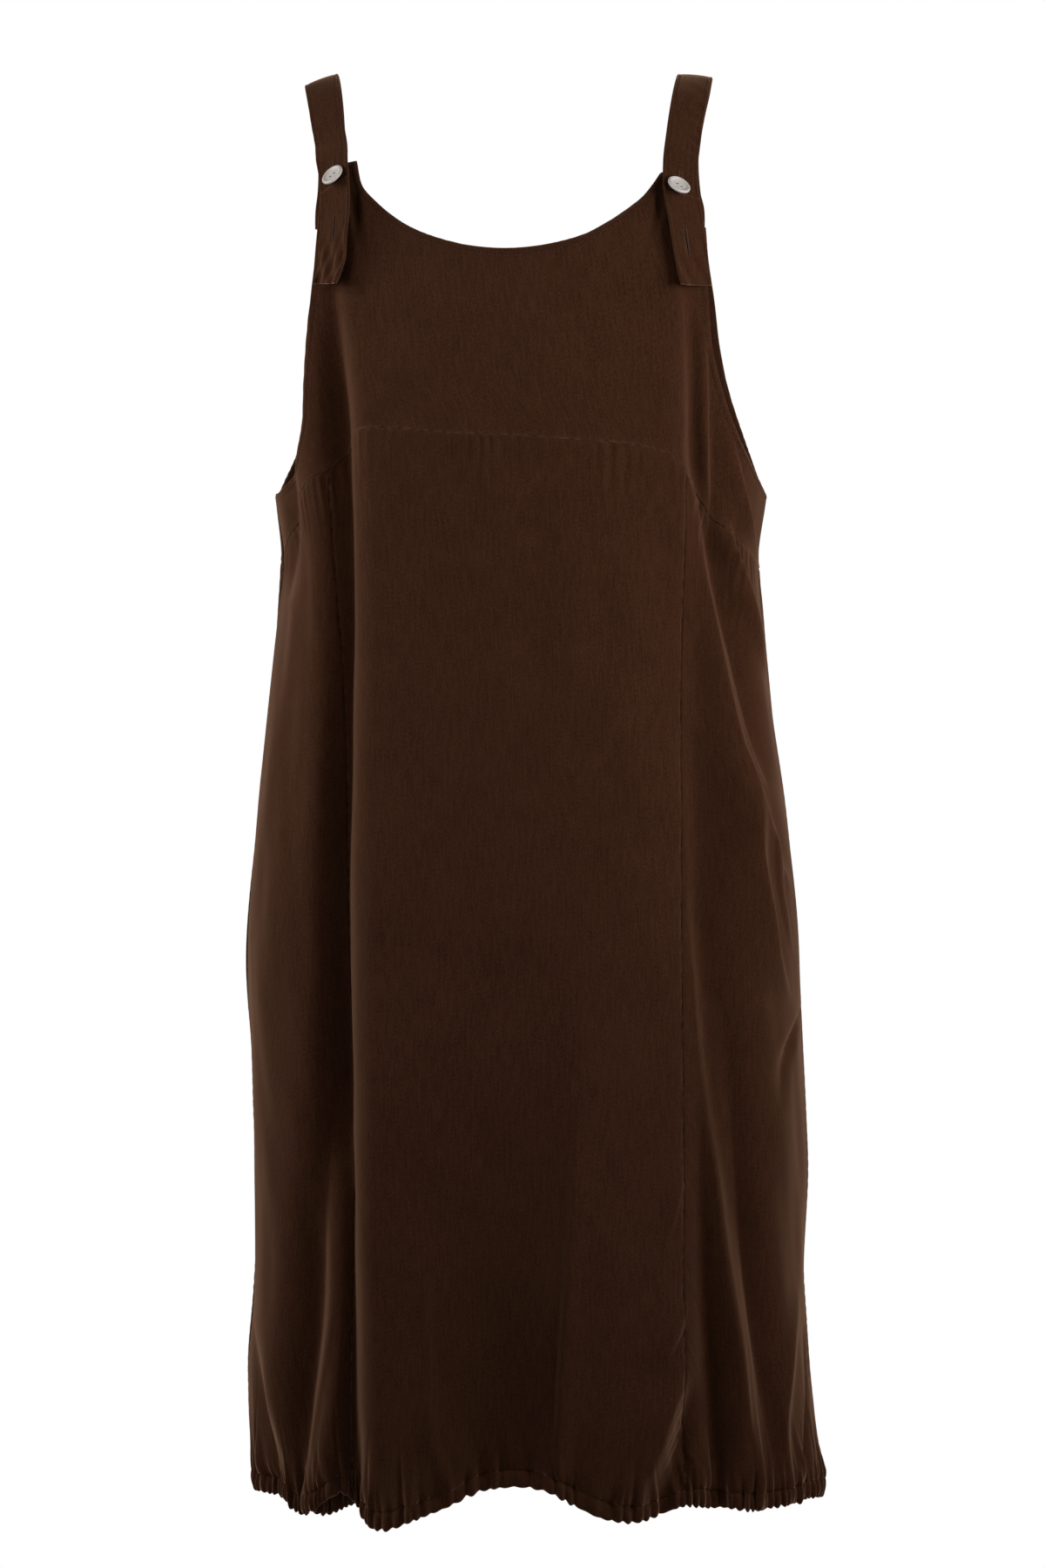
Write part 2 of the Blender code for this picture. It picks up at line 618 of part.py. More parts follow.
def skirt_grid(name, start, end):
    """The grid of a skirt panel between two upright seam lines."""
    share = even_columns(start, end, COLUMNS[name])
    high = level_edge(start, end, share, yoke_height)
    low = level_edge(start, end, share, casing_top)
    steps = np.linspace(0, 1, SKIRT_ROWS + 1)
    steps = steps * (1 - ROW_CROWDING + ROW_CROWDING * steps)
    left = low[0, 1] + (high[0, 1] - low[0, 1]) * steps
    right = low[-1, 1] + (high[-1, 1] - low[-1, 1]) * steps
    left = np.stack([start(left), left], axis=1)
    right = np.stack([end(right), right], axis=1)
    return patch(low, high, left, right)


def panel_edge(names, row):
    """A row of the grids of neighbouring skirt panels, joined into one edge."""
    return np.concatenate([SKIRT[name][row][:-1] for name in names] + [SKIRT[names[-1]][row][-1:]])


def top_edge(armhole, neck, face, counts):
    """The upper edge of a bodice half as (turn, height), with counts pieces along each stretch:
    armhole, shoulder tab, neckline, shoulder tab and armhole."""
    sides = ("left", "right") if face == "front" else ("right", "left")
    heights = column(armhole, SEAM_COLUMNS, "height")
    edges = []
    for side in sides:
        turns = turn_at(column(armhole, SEAM_COLUMNS, side), heights, face)
        seam = SIDE_TURN[side, face]
        edges.append(np.array([(seam, UNDERARM[side]), *zip(turns, heights)]))
    neckline = np.array([(turn_at(a, h, face), h) for a, h in neck])
    stretches = (
        edges[0],
        np.array([edges[0][-1], neckline[0]]),
        neckline,
        np.array([neckline[-1], edges[1][-1]]),
        edges[1][::-1],
    )
    scale = (METRES_PER_RADIAN, 1)
    pieces = [along(line * scale, count + 1)[:-1] for line, count in zip(stretches, counts)]
    return np.concatenate([*pieces, edges[1][:1] * scale]) / scale


def bodice_grid(low, armhole, neck, face, counts):
    """The grid of a bodice half over the given points of the yoke seam."""
    high = top_edge(armhole, neck, face, counts)
    steps = np.linspace(0, 1, BODICE_ROWS + 1)[:, None]
    return patch(low, high, low[0] + (high[0] - low[0]) * steps,
                 low[-1] + (high[-1] - low[-1]) * steps)


# --- solids -----------------------------------------------------------------------------------


def material(name, roughness):
    made = bpy.data.materials.new(name)
    made.use_nodes = True
    shader = made.node_tree.nodes["Principled BSDF"]
    shader.inputs["Base Color"].default_value = COLOURS[name]
    shader.inputs["Roughness"].default_value = roughness
    made.diffuse_color = COLOURS[name]
    return made


def add_object(name, points, faces, made_of, smooth_angle=50):
    mesh = bpy.data.meshes.new(name)
    mesh.from_pydata(points.reshape(-1, 3).tolist(), [], faces)
    mesh.shade_smooth()
    mesh.set_sharp_from_angle(angle=math.radians(smooth_angle))
    mesh.materials.append(made_of)
    obj = bpy.data.objects.new(name, mesh)
    DRESS.objects.link(obj)
    return obj


def grid_faces(rows, columns, first=0, closed=False):
    """Quads of a grid of points numbered along its rows, facing the way of (across x up)."""
    reach = columns if closed else columns - 1
    faces = []
    for r in range(rows - 1):
        for c in range(reach):
            a, b = first + r * columns + c, first + r * columns + (c + 1) % columns
            faces.append((a, b, b + columns, a + columns))
    return faces


def add_wall(name, outer, inner, closed=False):
    """A closed solid between two grids of points, with rims along the open edges."""
    rows, columns = outer.shape[:2]
    count = rows * columns
    faces = grid_faces(rows, columns, closed=closed)
    faces += [face[::-1] for face in grid_faces(rows, columns, count, closed)]
    top, reach = (rows - 1) * columns, columns if closed else columns - 1
    for c in range(reach):
        d = (c + 1) % columns
        faces.append((count + c, count + d, d, c))
        faces.append((top + d, count + top + d, count + top + c, top + c))
    if not closed:
        for r in range(rows - 1):
            a, b = r * columns, (r + 1) * columns
            faces.append((b, count + b, count + a, a))
            a, b = a + columns - 1, b + columns - 1
            faces.append((count + a, count + b, b, a))
    return add_object(name, np.concatenate([outer, inner]), faces, CLOTH)


def add_panel(name, grid):
    """A panel's wall: its outer face is the cloth surface, and its inner face lies one wall
    thickness inside."""
    grid = pulled_in(grid)
    turn, height = grid[..., 0], grid[..., 1]
    outer = cloth(turn, height)
    return add_wall(name, outer, outer - outward(turn, height) * CLOTH_WALL)


def add_casing(turns, heights):
    """The hem's elastic casing: a ring that hangs from the skirt's lower edge and spreads from
    there into small gathers, GATHERS_PER_COLUMN between two of the skirt's columns."""
    steps = GATHERS_PER_COLUMN * POINTS_PER_GATHER
    count = (len(turns) - 1) * steps
    at = np.arange(count) / steps
    out = outward(turns, heights)
    edge = cloth(turns, heights) - (0, 0, 1.5 * SEAM_GAP)
    columns = np.arange(len(turns))
    edge, out = (
        np.stack([np.interp(at, columns, rows[:, k]) for k in range(3)], axis=1)
        for rows in (edge, out)
    )
    deep = GATHER_DEPTH * (1 - sum(share for share, _, _ in GATHER_UNEVENNESS) + sum(
        share * np.sin(at * rate + start) for share, rate, start in GATHER_UNEVENNESS))
    wave = deep * np.cos(FULL_TURN * at * GATHERS_PER_COLUMN) - CASING_TUCK
    lower = edge - (0, 0, CASING_HEIGHT) + out * wave[:, None]
    outer = np.stack([lower, edge])
    return add_wall("hem_casing", outer, outer - out * CLOTH_WALL, closed=True)


def strap_path(side):
    """(middle points, width directions) of a strap from its back end over the shoulder to the
    end of its tail, evenly spaced."""
    strap = STRAPS[side]
    rows = []

    def add(middle, yaw, slope):
        yaw, slope = math.radians(yaw), math.radians(slope)
        width = (math.cos(slope) * math.cos(yaw), math.cos(slope) * math.sin(yaw), math.sin(slope))
        rows.append((*middle, *(WIDTH_WEIGHT * w for w in width)))

    def on_cloth(across, height, lift, face):
        turn, height = turn_at(across, height, face), np.asarray(height)
        return cloth(turn, height) + outward(turn, height) * lift

    _, _, _, yaw, slope = strap["shoulder"][0]
    for rise in (SEAM_GAP, 0.010):
        seat = on_cloth(strap["back_across"], BACK_TAB_TOP + rise, -CLOTH_WALL / 2, "back")
        add(seat, yaw, slope)
    for across, depth, height, yaw, slope in strap["shoulder"]:
        add((across, depth, height), yaw, slope)
    for height, across, lift, yaw in strap["tail"]:
        add(on_cloth(across, height, lift + STRAP_THICKNESS / 2, "front"), yaw, 0)
    rows = along(rows, STRAP_STEPS)
    return rows[:, :3], rows[:, 3:]


def strap_frames(side):
    """For each step along a strap: its middle, the unit vector across it, and the one out of
    its face."""
    middle, across = strap_path(side)
    ahead = np.gradient(middle, axis=0)
    ahead /= np.linalg.norm(ahead, axis=1, keepdims=True)
    across = across - (across * ahead).sum(1, keepdims=True) * ahead
    across /= np.linalg.norm(across, axis=1, keepdims=True)
    out = np.cross(ahead, across)
    return middle, across, out


def add_strap(side):
    """A flat band with rounded edges, lofted along its path, closed at both ends."""
    middle, across, out = strap_frames(side)
    half, thick = STRAP_WIDTH / 2, STRAP_THICKNESS / 2
    rings = np.stack(
        [middle + across * (half * u) + out * (thick * v) for u, v in STRAP_OUTLINE], axis=1
    )
    rings[0, :, 2] = BACK_TAB_TOP + SEAM_GAP  # cut level, where it is sewn to the back
    corners = len(STRAP_OUTLINE)
    faces = grid_faces(len(rings), corners, closed=True)
    faces.append(tuple(range(corners))[::-1])
    faces.append(tuple((len(rings) - 1) * corners + k for k in range(corners)))
    return add_object(f"strap_{side}", rings, faces, CLOTH)


def button_place(side):
    """The matrix that stands a button on its strap: its face turned to button_facing."""
    middle, _, out = strap_frames(side)
    strap = STRAPS[side]
    on_front = middle[:, 1] < 0
    at = int(np.where(on_front, np.abs(middle[:, 2] - strap["button_height"]), 1).argmin())
    facing = Vector(strap["button_facing"]).normalized()
    holes = Vector(strap["hole_line"])
    holes = (holes - facing * holes.dot(facing)).normalized()
    place = Matrix((holes, facing.cross(holes), facing)).transposed().to_4x4()
    place.translation = Vector(middle[at] + out[at] * strap["button_stand"])
    place.translation.x = strap["button_across"]
    place.translation.z = strap["button_height"]
    return place


def add_button(side):
    """A turned button with a dished face and two holes through it."""
    mesh = bpy.data.meshes.new(f"button_{side}")
    points = [(BUTTON_DIAMETER / 2 * r, 0, BUTTON_THICKNESS * h) for r, h in BUTTON_OUTLINE]
    mesh.from_pydata(points, [(k, k + 1) for k in range(len(points) - 1)], [])
    mesh.materials.append(BUTTON)
    button = bpy.data.objects.new(f"button_{side}", mesh)
    DRESS.objects.link(button)
    turned = button.modifiers.new("turned", "SCREW")
    turned.steps = turned.render_steps = BUTTON_SIDES
    turned.use_merge_vertices = True
    turned.merge_threshold = 0.00002
    turned.use_smooth_shade = True
    place = button_place(side)
    for end in (-1, 1):
        bpy.ops.mesh.primitive_cylinder_add(
            vertices=HOLE_SIDES, radius=BUTTON_HOLE_DIAMETER / 2, depth=4 * BUTTON_THICKNESS
        )
        drill = bpy.context.object
        drill.name = f"drill_{side}_{'a' if end < 0 else 'b'}"
        drill.matrix_world = place @ Matrix.Translation((end * BUTTON_HOLE_SPACING / 2, 0, 0))
        drill.hide_render = True
        drill.display_type = "WIRE"
        for owner in list(drill.users_collection):
            owner.objects.unlink(drill)
        CUTTERS.objects.link(drill)
        hole = button.modifiers.new(f"hole_{end}", "BOOLEAN")
        hole.operation = "DIFFERENCE"
        hole.object = drill
    button.matrix_world = place
    return button


# --- the dress --------------------------------------------------------------------------------

DRESS = bpy.data.collections.new("pinafore_dress")
CUTTERS = bpy.data.collections.new("cutters")
bpy.context.scene.collection.children.link(DRESS)
bpy.context.scene.collection.children.link(CUTTERS)
CLOTH = material("cloth", 0.95)
BUTTON = material("button", 0.5)
BACK_TAB_TOP = NECK_BACK[0][1]

SEAM_TURNS = {
    "side_left": (lambda h: -SIDE + 0 * h, lambda h: front_seam("left", h)),
    "front": (lambda h: front_seam("left", h), lambda h: front_seam("right", h)),
    "side_right": (lambda h: front_seam("right", h), lambda h: SIDE + 0 * h),
    "back_right": (lambda h: SIDE + 0 * h, lambda h: math.pi + 0 * h),
    "back_left": (lambda h: math.pi + 0 * h, lambda h: FULL_TURN - SIDE + 0 * h),
}
SKIRT = {name: skirt_grid(name, *SEAM_TURNS[name]) for name in SEAM_TURNS}

for panel, panel_grid in SKIRT.items():
    add_panel(f"skirt_{panel}", panel_grid)

FRONT_PANELS = ("side_left", "front", "side_right")
BACK_PANELS = ("back_right", "back_left")
add_panel("bodice_front", bodice_grid(panel_edge(FRONT_PANELS, -1), ARMHOLE_FRONT, NECK_FRONT,
                                      "front", FRONT_TOP_COLUMNS))
add_panel("bodice_back", bodice_grid(panel_edge(BACK_PANELS, -1), ARMHOLE_BACK, NECK_BACK,
                                     "back", BACK_TOP_COLUMNS))

hem_points = panel_edge(FRONT_PANELS + BACK_PANELS, 0)
add_casing(hem_points[:, 0], hem_points[:, 1])

for strap_side in ("left", "right"):
    add_strap(strap_side)
    add_button(strap_side)
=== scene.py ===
"""A brown needlecord pinafore dress with a bubble hem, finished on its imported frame.

Metres, +Z up, the front faces -Y. "turn" is the way round the body in radians: 0 at the middle of
the front, pi/2 at the right side seam, pi at the middle of the back. Every cloth piece is a patch
of one surface, cloth(turn, height), and small creases, puckers and gathers are raised on it.
"""

import math

import bpy
import numpy as np
from mathutils import Matrix, Vector


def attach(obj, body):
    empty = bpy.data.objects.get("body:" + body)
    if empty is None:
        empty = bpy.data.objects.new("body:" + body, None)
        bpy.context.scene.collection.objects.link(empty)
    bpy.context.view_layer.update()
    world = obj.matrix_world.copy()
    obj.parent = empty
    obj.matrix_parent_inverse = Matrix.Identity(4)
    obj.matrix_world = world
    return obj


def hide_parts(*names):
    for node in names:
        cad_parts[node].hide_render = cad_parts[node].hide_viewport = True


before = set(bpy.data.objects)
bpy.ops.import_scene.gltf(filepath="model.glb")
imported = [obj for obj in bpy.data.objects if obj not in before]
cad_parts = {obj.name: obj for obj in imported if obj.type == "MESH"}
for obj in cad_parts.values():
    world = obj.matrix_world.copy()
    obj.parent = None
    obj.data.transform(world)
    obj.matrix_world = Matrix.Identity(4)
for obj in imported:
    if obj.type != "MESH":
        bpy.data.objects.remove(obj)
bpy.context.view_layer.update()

# --- sizes of the garment ---------------------------------------------------------------------

CLOTH_WALL = 0.0012
FACING_WALL = 0.0022  # where an edge is turned in and the cloth lies double
FACING_WIDTH = 0.013
CASING_HEIGHT = 0.013
STITCH_INSET = 0.0054

STRAP_WIDTH = 0.028
STRAP_THICKNESS = 0.0026
BUTTON_DIAMETER = 0.019
BUTTON_THICKNESS = 0.0032
BUTTON_HOLE_DIAMETER = 0.0018
BUTTON_HOLE_SPACING = 0.0040

SIDE = math.pi / 2
FULL_TURN = 2 * math.pi
RING_CORNER = 0.05  # how far a level ring leaves a plain ellipse towards a rounded box
METRES_PER_RADIAN = 0.16  # about how much cloth a radian covers
FLAT = (METRES_PER_RADIAN, 1)  # takes (turn, height) to metres of cloth
SKIRT_TOP, SKIRT_FOOT = -0.34, -1.10

# --- tables, in millimetres -------------------------------------------------------------------


def mm(*rows):
    """A table given in millimetres, in metres."""
    return np.array(rows, float) / 1000


# The half axes of the level rings.
SECTION_COLUMNS = ("height", "left", "right", "front", "back")
SECTIONS = mm(
    (-50, 185, 225, 58, 60), (-90, 185, 225, 78, 78), (-130, 186, 222, 96, 90),
    (-180, 187, 216, 112, 100), (-250, 186, 208, 126, 106), (-326, 183, 201, 132, 106),
    (-375, 177, 195, 134, 106), (-416, 180, 198, 136, 109), (-498, 189, 206, 140, 116),
    (-600, 199, 219, 145, 125), (-680, 205, 225, 148, 131), (-760, 202, 229, 151, 136),
    (-850, 199, 232, 152, 139), (-945, 200, 230, 152, 139), (-1008, 203, 234, 150, 137),
    (-1050, 202, 239, 147, 134), (-1090, 198, 243, 142, 129), (-1115, 194, 244, 137, 124),
    (-1150, 189, 241, 133, 120),
)

# Seams and edges. "across" is the distance from the middle, + to the right. The rows of a line
# that runs round are (across, height).
YOKE_FRONT = mm(
    (-169, -330), (-158, -314), (-146, -306), (-134, -293), (-122, -279), (-108, -276),
    (-98, -276), (-44, -280), (10, -282), (50, -285), (90, -288), (110, -292), (127, -299),
    (140, -313), (160, -340), (179, -361),
)
YOKE_SIDE = {"left": -0.380, "right": -0.384}
YOKE_BACK = mm(
    (165, -352), (110, -318), (50, -304), (0, -302), (-50, -304), (-105, -318), (-155, -350),
)
# The lower edge of the gathered hem. It hangs in waves.
HEM_FRONT = mm(
    (-188, -1108), (-176, -1119), (-162, -1117), (-149, -1114), (-138, -1106), (-130, -1103),
    (-122, -1112), (-112, -1125), (-96, -1130), (-75, -1124), (-48, -1114), (-22, -1101),
    (4, -1097), (26, -1100), (48, -1110), (72, -1121), (98, -1125), (118, -1120), (138, -1113),
    (160, -1113), (186, -1116), (212, -1114), (232, -1109),
)
HEM_SIDE = {"left": -1.100, "right": -1.107}
HEM_BACK = mm(
    (215, -1112), (170, -1106), (115, -1108), (55, -1095), (0, -1089), (-55, -1097), (-95, -1110),
    (-120, -1118), (-143, -1125), (-160, -1120), (-182, -1108),
)
# The rows of a line that runs up are (height, across of the left one, across of the right one).
SEAM_COLUMNS = ("height", "left", "right")
FRONT_SEAMS = mm(
    (-280, -147.5, 137), (-320, -148, 137.5), (-400, -145.5, 137.5), (-500, -141, 137.5),
    (-620, -138, 137), (-900, -131, 137), (-1150, -124.5, 137.5),
)
# The armhole edges, from the underarm up to the corner of the shoulder tab.
UNDERARM = {"left": -0.326, "right": -0.327}
ARMHOLE_FRONT = mm(
    (-323.5, -180.5, 199), (-314.2, -177, 194.5), (-293.8, -169, 185.6), (-273.4, -164.6, 178),
    (-245, -162.7, 169), (-212.2, -160.3, 160.5), (-175, -156.6, 156), (-136, -152.2, 152.3),
    (-100, -148, 149), (-73, -146.2, 146.8),
)
ARMHOLE_BACK = mm(
    (-323.5, -180, 199), (-314.2, -176, 195.5), (-293.8, -167, 188.5), (-273.4, -161, 181.5),
    (-245, -156, 172.5), (-212.2, -153, 165.5), (-175, -150, 161), (-140, -150, 156),
    (-116, -151, 154),
)
# The necklines, between the inner corners of the shoulder tabs.
NECK_FRONT = mm(
    (-119, -66.8), (-114.2, -87), (-103.4, -99.3), (-92.5, -108.8), (-81.6, -116.3),
    (-54.4, -127.8), (-21.8, -134.6), (5.4, -135.3), (35, -131.2), (59.8, -123.8), (76.2, -114.9),
    (92.5, -104), (103.4, -95.2), (111, -86), (117.6, -76.2),
)
NECK_BACK = mm(
    (127, -116), (122, -125), (108, -137), (80, -148), (40, -154), (0, -156), (-40, -154),
    (-80, -148), (-108, -137), (-122, -125), (-127, -116),
)

# A fold is (name, face, reach_left, reach_right, path). It runs down the cloth along its path,
# whose push is outwards if positive, and its reaches say how far it spreads to each side.
PATH_COLUMNS = ("height", "across", "push")
FOLDS = (
    ("left_valley", "front", 18, 11.5, (
        (-110, -142, 0), (-165, -140, -8), (-220, -137, -15), (-265, -135, -20), (-310, -135, -23),
        (-385, -135, -26), (-490, -135, -28), (-640, -136, -30), (-800, -135, -28),
        (-880, -132, -21), (-953, -129, -12), (-1038, -127, -6), (-1150, -125, -4))),
    ("left_low_groove", "front", 7.8, 8, (
        (-820, -129, 0), (-880, -128, -6), (-950, -126, -10), (-1040, -123.5, -12),
        (-1100, -122.5, -11), (-1150, -122, -10))),
    ("left_low_valley", "front", 22, 20, (
        (-640, -144, 0), (-783, -148, -9), (-868, -156, -17), (-974, -165, -20),
        (-1038, -172, -20), (-1100, -177, -16), (-1150, -180, -12))),
    ("front_edge_roll", "front", 15, 60, (
        (-140, -122, 0), (-220, -112, 4), (-315, -105, 6), (-600, -103, 7), (-1000, -102, 7),
        (-1150, -99, 4))),
    ("left_panel_set_back", "front", 45, 30, (
        (-190, -160, 0), (-370, -163, -6), (-700, -170, -7), (-1040, -166, -6),
        (-1150, -163, -4))),
    ("left_underarm_crease", "front", 12, 16, (
        (-290, -174, 0), (-320, -175.5, -8), (-365, -174, -7), (-410, -176, 0))),
    ("left_hem_valley", "front", 12, 18, (
        (-970, -201, 0), (-1030, -198, -8), (-1080, -193, -13), (-1150, -188, -13))),
    ("left_slant_ridge", "front", 14, 14, (
        (-940, -130, 0), (-1000, -135, 2), (-1038, -139, 4), (-1072, -145, 4), (-1130, -152, 2))),
    ("middle_hollow", "front", 60, 45, (
        (-620, -4, 0), (-840, -4, -3), (-990, -6, -5), (-1085, -8, -6), (-1150, -10, -6))),
    ("left_knee_swell", "front", 30, 28, (
        (-880, -66, 0), (-990, -68, 4), (-1070, -70, 6), (-1140, -74, 5))),
    ("right_knee_swell", "front", 36, 50, (
        (-640, 60, 0), (-834, 53, 4), (-964, 45, 8), (-1068, 39, 8.5), (-1140, 38, 7))),
    ("right_front_ridge", "front", 26, 9, (
        (-130, 129, 0), (-170, 129, 4), (-225, 131, 6), (-285, 134, 6), (-385, 131, 2),
        (-600, 129, 1), (-890, 129, 1.5), (-1050, 127, 2), (-1140, 126, 0))),
    ("right_front_turn", "front", 40, 34, (
        (-150, 154, 0), (-230, 152, -8), (-330, 150, -14), (-500, 150, -19), (-800, 152, -19),
        (-1000, 153, -11), (-1130, 154, -5))),
    ("right_bib_valley", "front", 7, 9, (
        (-140, 142, 0), (-190, 143, -2.5), (-250, 145.5, -3.5), (-310, 149, -3), (-350, 152, 0))),
    ("right_bib_ridge", "front", 9, 5, (
        (-175, 150, 0), (-235, 153, 5), (-310, 157, 6), (-360, 160, 0))),
    ("bust_drag", "front", 30, 9.5, (
        (-284, 132, 0), (-320, 140, 7), (-373, 151, 12), (-403, 156.5, 13), (-452, 165, 14),
        (-483, 170.5, 14), (-524, 178, 14), (-552, 185.5, 13), (-576, 193.5, 11), (-612, 208, 4),
        (-640, 220, 0))),
    ("bust_drag_hollow", "front", 9, 15, (
        (-325, 155, 0), (-373, 165.5, -6), (-452, 181.5, -10), (-515, 193.5, -9), (-560, 204, 0))),
    ("hip_drag", "front", 22, 8.5, (
        (-520, 178, 0), (-564, 184, 7), (-602, 189, 11), (-645, 197, 11), (-695, 209, 6),
        (-725, 219, 0))),
    ("underarm_drag", "front", 10, 5, (
        (-345, 172, 0), (-360, 173.5, 6), (-394, 182, 7), (-433, 191.5, 6), (-470, 201, 0))),
    ("armhole_drag", "front", 9, 5, (
        (-270, 170, 0), (-317, 179, 5), (-340, 184, 6), (-375, 192, 0))),
    ("hip_nick", "front", 12, 10, (
        (-725, 228, 0), (-745, 224, -6), (-768, 216, -4), (-810, 210, 0))),
    ("long_slant_ridge", "front", 30, 9, (
        (-540, 139, 0), (-634, 141, 4), (-702, 146, 9), (-783, 152, 13), (-862, 162.5, 15),
        (-919, 167.5, 15), (-960, 172.5, 15), (-1021, 180, 13), (-1083, 188.5, 10),
        (-1145, 192, 5))),
    ("long_slant_hollow", "front", 12, 17, (
        (-680, 169, 0), (-832, 182, -9), (-938, 191, -13), (-1032, 203, -12), (-1145, 211, -8))),
    ("seam_hollow", "front", 11, 14, (
        (-740, 148, 0), (-860, 153, -8), (-960, 158, -14), (-1040, 163, -15), (-1092, 166, -12),
        (-1145, 168, -8))),
    ("seam_overlap_ridge", "front", 34, 10.5, (
        (-900, 137, 0), (-985, 137, 3), (-1021, 133, 7), (-1042, 125, 10), (-1062, 118, 10),
        (-1079, 111.5, 8), (-1103, 98, 5), (-1130, 91, 2))),
    ("seam_overlap_hollow", "front", 9, 10, (
        (-1010, 144, 0), (-1042, 138.5, -6), (-1080, 129, -8), (-1115, 117, -5))),
    ("right_hem_ridge", "front", 18, 9, (
        (-940, 225, 0), (-1000, 218, 5), (-1045, 213, 9), (-1085, 213, 9), (-1140, 216, 4))),
    ("right_hem_valley", "front", 7, 12, (
        (-970, 230, 0), (-1030, 233, -9), (-1080, 232, -13), (-1145, 233, -12))),
    ("back_left_valley", "back", 16, 30, (
        (-180, -92, 0), (-300, -94, -9), (-480, -98, -21), (-700, -103, -28), (-950, -106, -29),
        (-1145, -102, -22))),
    ("back_right_valley", "back", 30, 16, (
        (-200, 98, 0), (-330, 101, -9), (-540, 107, -19), (-780, 112, -26), (-990, 113, -27),
        (-1145, 108, -20))),
    ("back_middle_swell", "back", 45, 45, (
        (-290, 6, 0), (-520, 4, 6), (-900, -4, 10), (-1145, -6, 7))),
    ("back_left_slant", "back", 16, 12, (
        (-430, -162, 0), (-620, -156, 8), (-860, -150, 11), (-1145, -140, 8))),
    ("back_right_slant", "back", 12, 18, (
        (-370, 184, 0), (-560, 178, 8), (-820, 168, 11), (-1145, 160, 8))),
    ("back_hem_hollow", "back", 30, 24, (
        (-890, -40, 0), (-1040, -42, -7), (-1145, -44, -11))),
    ("back_hem_hollow_right", "back", 22, 26, (
        (-930, 52, 0), (-1050, 54, -6), (-1145, 56, -10))),
)
# Small creases that only the finished cloth has.
CREASES = (
    ("hip_branch", "front", 6, 5, (
        (-560, 198, 0), (-602, 205, 2), (-645, 213, 2.2), (-690, 221, 0))),
    ("bust_seam_start", "front", 5, 4, (
        (-303, 137, 0), (-320, 143.5, 2.2), (-350, 152.5, 1.6), (-390, 160, 0))),
    ("left_tab_drag", "front", 4, 4, (
        (-86, -122, 0), (-104, -120, -2.4), (-122, -117.5, -1.4), (-150, -113, 0))),
    ("right_tab_drag", "front", 4, 4, (
        (-88, 119, 0), (-102, 116.5, -2.6), (-118, 112.5, -1.6), (-140, 106, 0))),
    ("left_band_edge", "front", 7, 5, (
        (-930, -142, 0), (-980, -147, 1), (-1040, -156, 1.4), (-1100, -162, 0))),
    ("knee_crease", "front", 4, 12, (
        (-780, 51.5, 0), (-850, 49.5, 1.8), (-964, 43.5, 3), (-1040, 39.5, 2.8),
        (-1100, 36.5, 0))),
    ("seam_pucker_low", "front", 10, 4, (
        (-950, 137.5, 0), (-968, 134, 2.4), (-990, 124, 2.8), (-1010, 114, 0))),
    ("seam_pucker_high", "front", 9, 4, (
        (-850, 137, 0), (-872, 131, 1.6), (-900, 124, 1.6), (-925, 120, 0))),
    ("left_knee_crease", "front", 9, 7, (
        (-900, -68, 0), (-960, -66.5, 1.6), (-1040, -63.5, 2), (-1105, -60, 0))),
)
FOLD_SHARPNESS = 1.7
CLIFF_SHARPNESS = 3.0  # of a side with a reach below CLIFF_REACH, where a fold lies over itself
CLIFF_REACH = 0.0075

# Painted shade on the skirt's front, left of the knee crease: rows of (height, across, how dark in
# thousandths) along the line that it ends at on the right.
PAINTED_SHADE_EDGE = mm(
    (-640, 60, 0), (-834, 52, 120), (-964, 44, 240), (-1068, 38.5, 270), (-1140, 37, 250),
)
PAINTED_SHADE_WIDTH = 0.130

# The casing's section round its elastic, from its top seam down the outside and up the inside:
# (outward, down).
CASING_SECTION = mm(
    (-2.2, -3), (-1, -1), (0, 0.3), (0.4, 1.6), (0.7, 3.6), (0.9, 6.5), (0.7, 9.4), (0.1, 11.8),
    (-1, 13), (-2.4, 12), (-3.2, 9.4), (-3.6, 6.2), (-3.4, 3), (-3, -2.6),
)

